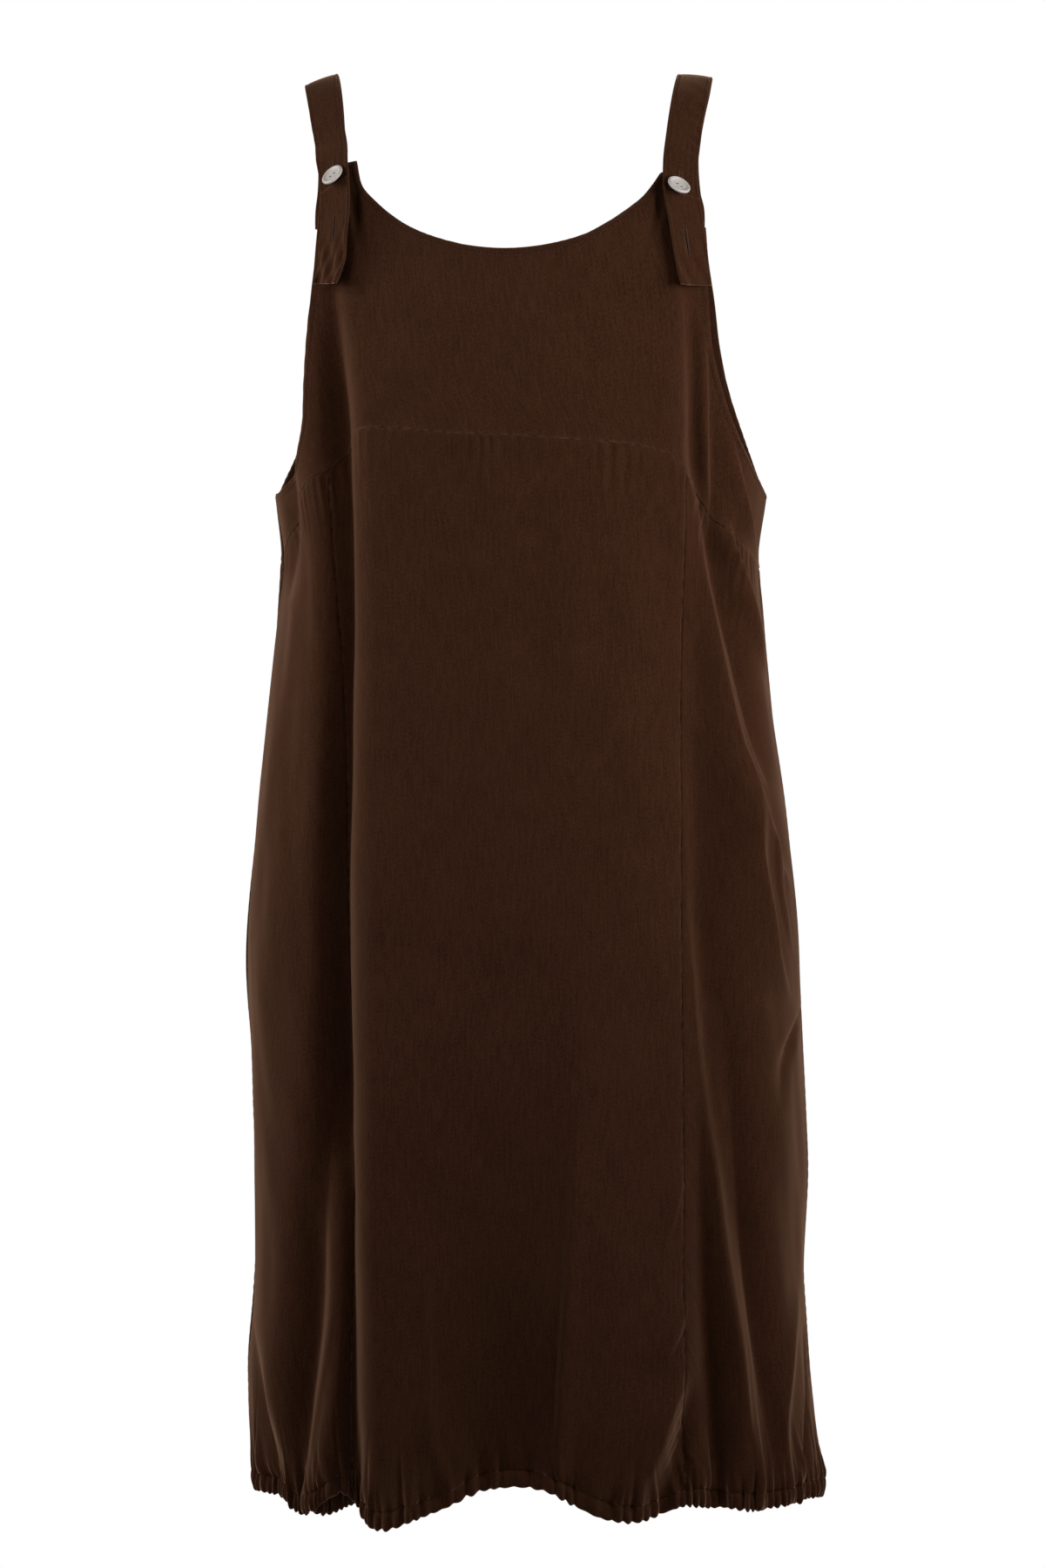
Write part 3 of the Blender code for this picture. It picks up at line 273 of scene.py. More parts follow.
# Straps: the middle line over the shoulder as (x, y, z, yaw, slope of its width in degrees), and
# the tail on the bib as (height, across, lift off the cloth, yaw). The rest is in metres.
STRAPS = {
    "left": {
        "shoulder": (
            (-138.5, 60, -86, 36, 4), (-139, 53, -58, 40, 8), (-141.5, 40, -31, 30, 14),
            (-145, 20.5, -9.5, 10, 19), (-146.6, 0, -3.8, -6, 20), (-145.2, -18.5, -14.5, -20, 19),
            (-142, -34.5, -36, -27, 15), (-139.6, -44, -50, -31, 12),
        ),
        "tail": (
            (-70, -136.4, 4, -36), (-88, -134.7, 3.5, -38), (-108, -133.6, 4.5, -41),
            (-128, -133.9, 5.5, -43), (-148, -134.6, 6.5, -44), (-164, -135.6, 8, -44),
        ),
        "back_across": -0.1395,
        "button_stand": 0.0072,
        "button_across": -0.1367,
        "button_height": -0.0795,
        "button_facing": (-0.59, -0.48, 0.65),
        "hole_line": (0.7, 0.0, 0.72),
    },
    "right": {
        "shoulder": (
            (138, 69, -88, -36, 0), (137.2, 60.5, -58, -42, -2), (140, 44, -29, -32, -4),
            (143.6, 22, -7.5, -10, -5), (144.7, 0, -0.8, 2, -5), (141.5, -24, -13, 8, -5),
            (137.5, -43, -35, 12, -4), (135.4, -53, -50, 13, -4),
        ),
        "tail": (
            (-72, 132.6, 3.5, 14), (-90, 132.6, 3, 15), (-110, 135.8, 3, 16),
            (-130, 138.4, 3.5, 20), (-149, 140.2, 4.5, 24), (-165.5, 141.2, 6, 26),
        ),
        "back_across": 0.1395,
        "button_stand": 0.006,
        "button_across": 0.1312,
        "button_height": -0.0876,
        "button_facing": (0.44, -0.52, 0.73),
        "hole_line": (0.6, 0.0, -0.8),
    },
}
WIDTH_WEIGHT = 0.05  # how strongly a turn of the width counts as length along the strap


# --- curves -----------------------------------------------------------------------------------


def column(rows, names, name):
    """One named column of a table."""
    return rows[:, names.index(name)]


def smooth(at, xs, ys):
    """A smooth curve through (xs, ys), with xs rising, read at the places in at. Each piece is a
    cubic whose slopes are those between its neighbours, and the ends stay level."""
    at = np.clip(np.asarray(at, float), xs[0], xs[-1])
    slopes = np.gradient(ys, xs)
    i = np.clip(np.searchsorted(xs, at, side="right") - 1, 0, len(xs) - 2)
    step = xs[i + 1] - xs[i]
    t = (at - xs[i]) / step
    return (ys[i] * (1 + 2 * t) * (1 - t) ** 2 + ys[i + 1] * t * t * (3 - 2 * t)
            + step * (slopes[i] * t * (1 - t) ** 2 + slopes[i + 1] * t * t * (t - 1)))


def by_height(rows, names, name, height):
    """A column of a table whose rows go down from the top, read at any height."""
    heights = column(rows, names, "height")[::-1]
    return smooth(height, heights, column(rows, names, name)[::-1])


def lengths(points):
    """The length of a line of points up to each of them."""
    steps = np.linalg.norm(np.diff(points, axis=0), axis=1)
    return np.concatenate([[0], np.cumsum(steps)])


def read_along(where, at, values):
    """Rows of values that stand at the lengths in at, read at the lengths in where."""
    return np.stack([np.interp(where, at, values[:, k]) for k in range(values.shape[1])], 1)


def resampled(points, where):
    """The points of a line at the given lengths along it."""
    return read_along(where, lengths(points), points)


def even_places(length, pitch):
    """Even places along a length, about pitch apart and half a step in from its ends."""
    count = max(2, int(length / pitch))
    return (np.arange(count) + 0.5) * length / count


def along(points, count):
    """count points spaced evenly along a smooth curve through the given ones."""
    points = np.asarray(points, float)
    at = lengths(points)
    fine = np.linspace(0, at[-1], 40 * len(points))
    curve = np.stack([smooth(fine, at, points[:, k]) for k in range(points.shape[1])], axis=1)
    return resampled(curve, np.linspace(0, lengths(curve)[-1], count))


def ramp(value, low, high):
    """0 below low, 1 above high and a smooth step between them."""
    t = np.clip((value - low) / (high - low), 0, 1)
    return t * t * (3 - 2 * t)


def bell(value, width, power=2):
    """1 where the value is 0, falling off to both sides as exp(-(value / width) ** power)."""
    return np.exp(-((np.abs(value) / width) ** power))


def wander(at, seed):
    """A slow uneven wave between about -1 and 1: four sines whose rates share no common step."""
    rates = (1.0, 1.73, 2.61, 4.19)
    shares = (0.42, 0.30, 0.18, 0.10)
    return sum(share * np.sin(rate * at + seed * (1.7 + rate) + 2.3 * seed)
               for rate, share in zip(rates, shares))


def uneven(at, seed, middle, swing, most):
    """An amount that wanders by swing around middle, kept between 0 and most."""
    return np.clip(middle + swing * wander(at, seed), 0, most)


def unit(vectors):
    return vectors / np.maximum(np.linalg.norm(vectors, axis=-1, keepdims=True), 1e-12)


def square_to(vectors, lines):
    """Unit vectors: what is left of vectors square to the unit vectors in lines."""
    return unit(vectors - (vectors * lines).sum(1, keepdims=True) * lines)


# --- the surface that all the cloth lies on ---------------------------------------------------


def ring(turn, height):
    """A level ring of the garment before it is folded: the point, the unit vector along the ring
    and the length of ring that a radian covers. An ellipse with RING_CORNER of a third harmonic,
    whose four half axes are those of SECTIONS."""
    sine, cosine = np.sin(turn), np.cos(turn)
    half = {name: by_height(SECTIONS, SECTION_COLUMNS, name, height)
            for name in SECTION_COLUMNS[1:]}
    wide = np.where(sine >= 0, half["right"], half["left"]) / (1 - RING_CORNER)
    deep = np.where(cosine >= 0, half["front"], half["back"]) / (1 - RING_CORNER)
    x = wide * (sine + RING_CORNER * np.sin(3 * turn))
    y = -deep * (cosine - RING_CORNER * np.cos(3 * turn))
    x_step = wide * (cosine + 3 * RING_CORNER * np.cos(3 * turn))
    y_step = deep * (sine - 3 * RING_CORNER * np.sin(3 * turn))
    length = np.hypot(x_step, y_step)
    return x, y, x_step / length, y_step / length, length


def turn_at(across, height, face="front"):
    """The turn at which the unfolded ring is that far across, on its front or its back."""
    across = np.asarray(across, float)
    half = np.where(across >= 0, by_height(SECTIONS, SECTION_COLUMNS, "right", height),
                    by_height(SECTIONS, SECTION_COLUMNS, "left", height))
    # sin(3 turn) is 3 sin(turn) - 4 sin(turn) cubed, so the sine is found by repeated trial.
    wanted = np.clip(across / half, -1, 1) * (1 - RING_CORNER)
    sine = wanted
    for _ in range(30):
        sine = (wanted + 4 * RING_CORNER * sine**3) / (1 + 3 * RING_CORNER)
    turn = np.arcsin(np.clip(sine, -1, 1))
    return turn if face == "front" else math.pi - turn


LEVELS = np.linspace(-1.16, -0.04, 1121)


def fold_lines(folds):
    """For each fold: its face, its reaches, and at each of LEVELS its turn, its push and the
    length of ring that a radian covers there."""
    lines = []
    for _, face, reach_left, reach_right, path in folds:
        path = mm(*path)
        turn = turn_at(by_height(path, PATH_COLUMNS, "across", LEVELS), LEVELS, face)
        push = by_height(path, PATH_COLUMNS, "push", LEVELS)
        lines.append((face, reach_left / 1000, reach_right / 1000, turn, push,
                      ring(turn, LEVELS)[4]))
    return lines


FOLD_LINES = fold_lines(FOLDS)
CREASE_LINES = fold_lines(CREASES)


def fold_push(turn, height, lines):
    """How far folds push the cloth out. A fold's push falls off to either side of its line as a
    bell() of the distance."""
    total = np.zeros(np.broadcast(turn, height).shape)
    for face, reach_left, reach_right, line_turn, line_push, line_length in lines:
        off = (turn - np.interp(height, LEVELS, line_turn) + math.pi) % FULL_TURN - math.pi
        distance = off * np.interp(height, LEVELS, line_length) * (1 if face == "front" else -1)
        reach = np.where(distance < 0, reach_left, reach_right)
        sharpness = np.where(reach < CLIFF_REACH, CLIFF_SHARPNESS, FOLD_SHARPNESS)
        total = total + np.interp(height, LEVELS, line_push) * bell(distance, reach, sharpness)
    return total


def cloth(turn, height):
    """Points of the outer face of the cloth, with its folds and none of its small creases."""
    x, y, along_x, along_y, _ = ring(turn, height)
    push = fold_push(turn, height, FOLD_LINES)
    return np.stack([x + along_y * push, y - along_x * push, height + 0 * x], axis=-1)


def outward(turn, height, rise=0.0004):
    """Unit vectors square to the cloth and out of it."""
    swing = rise / METRES_PER_RADIAN
    step_round = cloth(turn + swing, height) - cloth(turn - swing, height)
    step_up = cloth(turn, height + rise) - cloth(turn, height - rise)
    return unit(np.cross(step_round, step_up))


# --- seam lines -------------------------------------------------------------------------------


def line_round(front, sides, back):
    """(turns, heights) of a line all round the dress, from the left side seam forwards."""
    front = [(turn_at(a, h, "front"), h) for a, h in front]
    back = [(turn_at(a, h, "back"), h) for a, h in back]
    rows = [(-SIDE, sides["left"]), *front, (SIDE, sides["right"]), *back,
            (FULL_TURN - SIDE, sides["left"])]
    return np.array(rows, float).T


YOKE_LINE = line_round(YOKE_FRONT, YOKE_SIDE, YOKE_BACK)
HEM_LINE = line_round(HEM_FRONT, HEM_SIDE, HEM_BACK)


def yoke_height(turn):
    return smooth(turn, *YOKE_LINE)


def casing_top(turn):
    return smooth(turn, *HEM_LINE) + CASING_HEIGHT


def front_seam(side, height):
    """The turn of a long front seam at a height."""
    return turn_at(by_height(FRONT_SEAMS, SEAM_COLUMNS, side, height), height)


SEAM_TURNS = {
    "side_left": lambda h: -SIDE + 0 * h,
    "front_left": lambda h: front_seam("left", h),
    "front_right": lambda h: front_seam("right", h),
    "side_right": lambda h: SIDE + 0 * h,
    "back_middle": lambda h: math.pi + 0 * h,
    "side_left_again": lambda h: FULL_TURN - SIDE + 0 * h,
}

# --- patches ----------------------------------------------------------------------------------


def shares(edge):
    """How far along an edge of (turn, height) each of its points is, from 0 to 1."""
    at = lengths(edge * FLAT)
    return at / at[-1]


def patch(low, high, left, right, f=None, t=None):
    """A grid of (turn, height) that fills the space between four edges (a Coons patch). low and
    high run from left to right, left and right run upwards, and the corners agree."""
    f = (shares(low) if f is None else f)[None, :, None]
    t = (shares(left) if t is None else t)[:, None, None]
    across = (1 - t) * low[None] + t * high[None]
    upwards = (1 - f) * left[:, None] + f * right[:, None]
    corners = (1 - t) * ((1 - f) * low[0] + f * low[-1]) + t * ((1 - f) * high[0] + f * high[-1])
    return across + upwards - corners


def crowded(count, length, fine_start, fine_end, fineness):
    """count + 1 shares from 0 to 1 whose steps near either end are fineness times shorter, over
    fine_start and fine_end metres of the whole length."""
    at = np.linspace(0, 1, 2000)
    near = np.maximum(1 - ramp(at * length, fine_start, 2 * fine_start + 1e-6),
                      1 - ramp((1 - at) * length, fine_end, 2 * fine_end + 1e-6))
    density = 1 + (fineness - 1) * near
    total = np.concatenate([[0], np.cumsum((density[1:] + density[:-1]) / 2)])
    return np.interp(np.linspace(0, 1, count + 1), total / total[-1], at)


def even_columns(start, end, count):
    """count + 1 shares from 0 to 1 between two seam lines, evenly spaced along the folded cloth
    but crowded beside the seams. start and end give a seam's turn at a height."""
    share = np.linspace(0, 1, 900)
    total = np.zeros(len(share))
    heights = np.linspace(SKIRT_TOP, SKIRT_FOOT, 9)
    for height in heights:
        at = np.full(len(share), height)
        first, last = start(height), end(height)
        total += lengths(cloth(first + share * (last - first), at)) / len(heights)
    steps = crowded(count, total[-1], 0.008, 0.008, 2.6)
    return np.interp(steps, total / total[-1], share)


def level_edge(start, end, share, line):
    """Points of a seam that runs round, at shares of the way between two upright seams. Its
    height and theirs depend on each other, so it is found by repeated trial."""
    first, last = start(SKIRT_TOP), end(SKIRT_TOP)
    for _ in range(5):
        turns = first + share * (last - first)
        heights = line(turns)
        first, last = start(heights), end(heights)
    return np.stack([first + share * (last - first), heights], axis=1)


def skirt_grid(start, end, columns, rows):
    """The grid of a skirt panel between two upright seam lines."""
    share = even_columns(start, end, columns)
    high = level_edge(start, end, share, yoke_height)
    low = level_edge(start, end, share, casing_top)
    steps = crowded(rows, 0.77, 0.030, 0.012, 1.9)
    sides = []
    for seam, k in ((start, 0), (end, -1)):
        heights = low[k, 1] + (high[k, 1] - low[k, 1]) * steps
        sides.append(np.stack([seam(heights), heights], axis=1))
    return patch(low, high, *sides)


def readings(at, count):
    """The matrix that reads a smooth curve through count even values at the shares in at."""
    return np.stack([smooth(at, np.linspace(0, 1, count), row) for row in np.eye(count)], axis=1)


def relaxed(grid, rounds, smooth_first):
    """A grid whose inner points are moved, round by round, until its lines are smooth and evenly
    spaced and nowhere cross: with S and T the steps along the rows and the columns, each point
    solves (T.T) * (second step along S) - 2 (S.T) * (mixed step) + (S.S) * (second step along T)
    = 0."""
    inner = grid[1:-1, 1:-1]
    for turn_number in range(rounds):
        west, east, south, north = grid[1:-1, :-2], grid[1:-1, 2:], grid[:-2, 1:-1], grid[2:, 1:-1]
        s, t = (east - west) / 2, (north - south) / 2
        a, b, c = (t * t).sum(-1), (s * t).sum(-1), (s * s).sum(-1)
        if smooth_first and turn_number < rounds // 6:
            a, b, c = 1 + 0 * a, 0 * b, 1 + 0 * c
        mixed = grid[2:, 2:] - grid[2:, :-2] - grid[:-2, 2:] + grid[:-2, :-2]
        a, b, c = a[..., None], b[..., None], c[..., None]
        inner[:] = (a * (west + east) + c * (south + north) - 0.5 * b * mixed) / (2 * (a + c))
    return grid


def read_up(rough, low, high, left, right):
    """A rough grid read smoothly at the shares of finer edges and put back exactly on them."""
    f, t = shares(low), shares(left)
    rows, columns = readings(t, len(rough)), readings(f, rough.shape[1])
    fine = np.stack([rows @ rough[..., k] @ columns.T for k in range(2)], -1)
    return fine + patch(low - fine[0], high - fine[-1], left - fine[:, 0], right - fine[:, -1],
                        f, t)


def bodice_edges(armhole, neck, face):
    """The edges of a bodice half, as lines of (turn, height): the side seam with the armhole on
    its left, the tabs with the neckline between them, and the side seam with the armhole on its
    right."""
    if face == "front":
        seams = (("left", -SIDE), ("right", SIDE))
    else:
        seams = (("right", SIDE), ("left", FULL_TURN - SIDE))
    heights = column(armhole, SEAM_COLUMNS, "height")
    left_arm, right_arm = (
        np.array([(seam, UNDERARM[side]),
                  *zip(turn_at(column(armhole, SEAM_COLUMNS, side), heights, face), heights)])
        for side, seam in seams)
    return left_arm, np.array([(turn_at(a, h, face), h) for a, h in neck]), right_arm


def bodice_grid(armhole, neck, face, columns, rows):
    """The grid of a bodice half. Its sides run up the side seam and the armhole, so that every
    edge of the cloth is an edge of the grid. It is relaxed from rough to fine."""
    left_arm, neckline, right_arm = bodice_edges(armhole, neck, face)
    start, end = left_arm[0, 0], right_arm[0, 0]
    left_side, right_side = (
        np.concatenate([[np.array([arm[0, 0], yoke_height(arm[0, 0])]) * FLAT],
                        along(arm * FLAT, 900)])
        for arm in (left_arm, right_arm))
    top = np.concatenate([left_arm[-1:] * FLAT, along(neckline * FLAT, 900),
                          right_arm[-1:] * FLAT])

    def edges(f, t):
        turns = start + f * (end - start)
        low = np.stack([turns, yoke_height(turns)], axis=1)
        lines = [resampled(line, at * lengths(line)[-1]) / FLAT
                 for line, at in ((top, f), (left_side, t), (right_side, t))]
        return low, *lines

    across = crowded(columns, 0.33, 0.007, 0.007, 2.6)
    upwards = crowded(rows, 0.25, 0.003, 0.007, 2.6)
    grid = patch(*edges(np.linspace(0, 1, 43), np.linspace(0, 1, 31)))
    grid = relaxed(grid * FLAT, 1500, smooth_first=True) / FLAT
    for f, t, rounds in ((across[::3], upwards[::3], 500), (across, upwards, 60)):
        grid = relaxed(read_up(grid, *edges(f, t)) * FLAT, rounds, smooth_first=False) / FLAT
    return grid


# --- small relief -----------------------------------------------------------------------------

# Plane waves that leave the cloth slightly uneven: (length, slant in degrees, start, height).
RIPPLES = (
    (0.110, 8, 0.3, 0.00060), (0.074, -14, 1.9, 0.00045), (0.052, 21, 4.1, 0.00028),
    (0.037, -5, 2.7, 0.00018), (0.290, 76, 0.9, 0.00050), (0.130, 58, 3.3, 0.00026),
    (0.024, 11, 5.2, 0.00009),
)
# How far apart the hem's gathers are, all round: (turn, spacing).
GATHER_SPACING = (
    (-1.6, 0.0050), (-1.0, 0.0055), (-0.62, 0.0066), (-0.30, 0.0090), (0.0, 0.0110),
    (0.30, 0.0096), (0.55, 0.0064), (0.95, 0.0054), (1.6, 0.0050), (2.4, 0.0056),
    (3.14, 0.0074), (3.9, 0.0058), (4.75, 0.0050),
)
# The waves above the casing: (height, how far up they reach).
FINE_GATHER = (0.0010, 0.009)
MIDDLE_GATHER = (0.0022, 0.019)
WIDE_GATHER = (0.0030, 0.036)
HEM_PUFF = (0.0014, 0.0085)
TUCK = (0.0022, 0.006)
TUCK_WIDTH = 0.24  # as a share of a gather
GATHER_DRIFT = 0.02  # how high the gathers drift sideways by about one

# The puckers of the yoke seam: (height, pitch, least and further reach down).
YOKE_PUCKER = (0.00072, 0.0078, 0.022, 0.018)
SEAM_GROOVE_WIDTH = 0.0015
EDGE_RADIUS = 0.0009


def common_relief(turn, height):
    """The slow unevenness and the small creases that run through all the cloth: the plane waves
    of RIPPLES, across mostly level and each bent by a slower one, and CREASES."""
    across = turn * METRES_PER_RADIAN
    total = np.zeros(np.broadcast(turn, height).shape)
    for k, (length, slant, start, depth) in enumerate(RIPPLES):
        slant = math.radians(slant)
        way = math.cos(slant) * across + math.sin(slant) * height
        bend = 0.9 * np.sin(height * (11 + 3 * k) + 5 * across + k)
        total += depth * np.sin(FULL_TURN * way / length + start + bend)
    return total + fold_push(turn, height, CREASE_LINES)


def gather_table():
    """The number of gathers up to each turn: the hem line's length divided by the spacing, and
    how many they are all round."""
    turn = np.linspace(-SIDE - 0.02, FULL_TURN - SIDE + 0.02, 6000)
    at = lengths(cloth(turn, casing_top(turn)))
    spacing = np.interp(turn, *np.array(GATHER_SPACING).T)
    spacing = spacing * (1 + 0.42 * wander(at / 0.009, 0.4))
    count = np.concatenate([[0], np.cumsum(np.diff(at) / ((spacing[1:] + spacing[:-1]) / 2))])
    first, last = np.interp((-SIDE, FULL_TURN - SIDE), turn, count)
    whole = round(last - first)
    return turn, (count - first) * (whole / (last - first)), whole


GATHER_TURNS, GATHER_COUNTS, GATHERS = gather_table()


def gather_wave(turn):
    """The gathers' shape round the hem, from about -1 to 1: rounded crests and narrow troughs,
    uneven in depth."""
    count = np.interp(turn, GATHER_TURNS, GATHER_COUNTS)
    wave = np.sqrt(np.cos(math.pi * count) ** 2 + 0.05) * 2 - 1.05
    return wave * (0.60 + 0.70 * wander(count * 0.9, 2.1))


def tucks(count, above):
    """Narrow troughs that rise from between the gathers, each as deep and as long as wander()
    makes it, and drift sideways as they rise."""
    drifted = count + 0.5 * np.sin(count * 0.61 + 1.0) * above / GATHER_DRIFT
    number = np.floor(drifted)
    strength = uneven(number * 1.9, 4.4, 0.10, 1.4, 1.2)
    depth, reach = TUCK
    return (-depth * strength * bell(drifted - number - 0.5, TUCK_WIDTH)
            * bell(above, reach + 0.026 * strength, 1.5))


def hem_relief(turn, height):
    """Gathers that rise from the casing into the skirt and die out: the finest within a
    centimetre, then tucks, and waves twice and four times as wide that reach further up. Just
    above the casing the cloth puffs out over it."""
    above = np.maximum(height - casing_top(turn), 0)
    count = np.interp(turn, GATHER_TURNS, GATHER_COUNTS)
    slant = 0.9 * np.sin(count * 0.31) * above / GATHER_DRIFT
    size, reach = FINE_GATHER
    fine = gather_wave(turn) * size * bell(above, reach, 1)
    size, reach = MIDDLE_GATHER
    middle = np.cos(math.pi * (count + slant) + 0.8 * np.sin(count * 0.4)) * size
    middle = middle * (0.6 + 0.6 * wander(count * 0.45, 1.2)) * bell(above, reach, 1.3)
    size, reach = WIDE_GATHER
    reach = reach + 0.026 * wander(count * 0.17, 5.2)
    wide = np.cos(0.5 * math.pi * (count + 0.6 * slant) + np.sin(count * 0.23)) * size
    wide = wide * (0.5 + 0.7 * wander(count * 0.21, 3.4)) * bell(above, reach, 1.4)
    size, reach = HEM_PUFF
    puff = size * uneven(count * 0.41, 7.1, 0.60, 1.1, 1.6)
    puff = puff * (above / reach) * np.exp(1 - above / reach)
    return fine + middle + wide + puff + tucks(count, above)


def yoke_relief(turn, height):
    """Short upright puckers below the yoke seam, at uneven places and of uneven length."""
    below = yoke_height(turn) - height
    at = turn * METRES_PER_RADIAN
    size, pitch, reach, more = YOKE_PUCKER
    reach = reach + more * (0.5 + 0.5 * wander(at / 0.011, 0.9))
    wave = np.sin(FULL_TURN * at / pitch + 2.4 * wander(at / 0.013, 1.4))
    deep = size * uneven(at / 0.010, 3.0, 0.45, 0.9, 1.2)
    return deep * wave * ramp(below, 0.0, 0.003) * bell(np.clip(below, 0, 1), reach, 1.6)


# Each upright seam: (seed of its unevenness, groove depth, pucker height, pucker pitch, how
# steeply its puckers slant down).
SEAM_LOOKS = {
    "side_left": (1.1, 0.0006, 0.00035, 0.0090, 0.5),
    "front_left": (2.3, 0.0007, 0.00030, 0.0110, 0.6),
    "front_right": (3.7, 0.0011, 0.00080, 0.0115, 1.3),
    "side_right": (4.9, 0.0006, 0.00040, 0.0085, 0.5),
    "back_middle": (6.1, 0.0008, 0.00030, 0.0110, 0.6),
}
SEAM_LOOKS["side_left_again"] = SEAM_LOOKS["side_left"]


def seam_relief(distance, height, seam, share):
    """A pressed seam seen from either side: a narrow groove that is deeper here and there, and a
    share of the puckers that rise a little beside it and slant down, one to every pitch metres.
    They go by height so that both sides of a seam agree, and are faint above the knee."""
    seed, depth, pucker, pitch, slant = SEAM_LOOKS[seam]
    groove = -depth * (0.6 + 0.55 * wander(height / 0.009, seed)) * bell(
        distance, SEAM_GROOVE_WIDTH)
    slanted = height + slant * distance
    wave = np.sin(FULL_TURN * slanted / pitch + 2.4 * wander(slanted / 0.02, seed + 1))
    strength = share * pucker * uneven(height / 0.03, seed + 2, 0.60, 0.8, 1.4)
    strength = strength * (1 - 0.70 * ramp(height, -0.82, -0.70))
    beside = (1 - bell(distance, 0.0025, 1)) * bell(distance, 0.011, 1)
    return groove + 1.3 * strength * wave * beside


def seams_relief(left, right, height, seams):
    """The relief of the two upright seams beside a piece. The puckers are fainter on a seam's
    right, where it is pressed to."""
    return (seam_relief(left, height, seams[0], 0.5)
            + seam_relief(right, height, seams[1], 1.0))


def seam_shade(distance, height, seam):
    """Painted shade down in a seam: a dark line broken into uneven dashes."""
    seed = SEAM_LOOKS[seam][0]
    dashes = wander(height / 0.0021, seed + 3) + 0.35 * wander(height / 0.02, seed)
    return 0.75 * ramp(dashes, -0.25, 0.35) * bell(distance, 0.0011)


def painted_knee_shade(turn, height):
    """Painted shade to the left of the line of the table above, beside the knee crease: it begins
    at the line within two millimetres and dies out over the width given with that table, wavering
    slowly."""
    line = turn_at(by_height(PAINTED_SHADE_EDGE, PATH_COLUMNS, "across", height), height)
    dark = by_height(PAINTED_SHADE_EDGE, PATH_COLUMNS, "push", height)
    distance = (line - turn) * METRES_PER_RADIAN * 1.4
    share = ramp(distance, -0.001, 0.001) * (1 - ramp(distance, 0.02, PAINTED_SHADE_WIDTH))
    return dark * share * (0.9 + 0.2 * wander(height / 0.05 + turn * 3, 1.7))


def edge_roll(distance, radius=EDGE_RADIUS):
    """How far a cut edge's face turns in: a quarter circle over the last of the cloth."""
    near = np.clip(1 - distance / radius, 0, 1)
    return -radius * (1 - np.sqrt(1 - near**2 * 0.98))


def nearest(points, line, step=0.0007, batch=4000):
    """(distance, length along the line) from each grid point to the nearest point of a line."""
    flat = points.reshape(-1, 3)
    fine = resampled(line, np.arange(0, lengths(line)[-1], step))
    found = []
    for first in range(0, len(flat), batch):
        part = flat[first:first + batch]
        square = ((part[:, None] - fine[None]) ** 2).sum(-1)
        best = square.argmin(1)
        found.append((np.sqrt(square[np.arange(len(part)), best]), best * step))
    return [np.concatenate(parts).reshape(points.shape[:2]) for parts in zip(*found)]


# --- meshes -----------------------------------------------------------------------------------


def new_piece(name, points, faces, finish, uv=None, smooth_angle=None, marks=None):
    """A mesh object from an array of points and a list of arrays of faces, each of one size.
    uv gives each point's place on the flat cloth, in metres, and marks how much wear with a
    painted sheen, and how much painted shade, the cloth has there."""
    mesh = bpy.data.meshes.new(name)
    points = np.ascontiguousarray(points, dtype=np.float32).reshape(-1, 3)
    corners = np.concatenate([f.reshape(-1) for f in faces]).astype(np.int32)
    sizes = np.concatenate([np.full(len(f), f.shape[1]) for f in faces]).astype(np.int32)
    starts = np.concatenate([[0], np.cumsum(sizes)[:-1]]).astype(np.int32)
    mesh.vertices.add(len(points))
    mesh.vertices.foreach_set("co", points.reshape(-1))
    mesh.loops.add(len(corners))
    mesh.loops.foreach_set("vertex_index", corners)
    mesh.polygons.add(len(sizes))
    mesh.polygons.foreach_set("loop_start", starts)
    mesh.polygons.foreach_set("loop_total", sizes)
    mesh.update(calc_edges=True)
    mesh.validate()
    if uv is not None:
        places = np.asarray(uv, np.float32).reshape(-1, 2)
        mesh.uv_layers.new(name="cut").data.foreach_set("uv", places[corners].reshape(-1))
    for mark, values in (marks or {}).items():
        layer = mesh.attributes.new(mark, "FLOAT", "POINT")
        layer.data.foreach_set("value", np.asarray(values, np.float32).reshape(-1))
    mesh.shade_smooth()
    if smooth_angle:
        mesh.set_sharp_from_angle(angle=math.radians(smooth_angle))
    mesh.materials.append(finish)
    obj = bpy.data.objects.new(name, mesh)
    bpy.context.scene.collection.objects.link(obj)
    return obj


def numbered(rows, columns, first=0, around=False, over=False):
    """The numbers of a grid's points, row by row. around repeats the first column after the
    last, and over the first row."""
    numbers = first + np.arange(rows * columns).reshape(rows, columns)
    if around:
        numbers = np.hstack([numbers, numbers[:, :1]])
    return np.vstack([numbers, numbers[:1]]) if over else numbers


def quads(numbers):
    """The quads of a grid of point numbers, facing the way of (across x up)."""
    corners = [numbers[:-1, :-1], numbers[:-1, 1:], numbers[1:, 1:], numbers[1:, :-1]]
    return np.stack(corners, -1).reshape(-1, 4)


def fan(ring_start, sides, middle):
    """Triangles from each step of a closed ring of points to its middle."""
    k = np.arange(sides)
    return np.stack([ring_start + k, ring_start + (k + 1) % sides, 0 * k + middle], 1)


def wall_faces(rows, columns):
    """Faces of a closed wall: an outer grid, an inner one with every second row and column, and
    a rim of five-sided faces between them. Inner points are numbered after the outer ones."""
    outer = numbered(rows, columns)
    inner = numbered((rows + 1) // 2, (columns + 1) // 2, outer.size)
    out, deep = (np.concatenate([grid[0, :-1], grid[:-1, -1], grid[-1, :0:-1], grid[:0:-1, 0]])
                 for grid in (outer, inner))
    rim = np.stack([out[::2], deep, np.roll(deep, -1), np.roll(out[::2], -1), out[1::2]], 1)
    # Along the top and the left edge too, a face begins at its corner with the lowest number.
    half = len(rim) // 2
    rim[half:] = np.roll(rim[half:], 2, axis=1)
    return [quads(outer), quads(inner)[:, ::-1], rim]


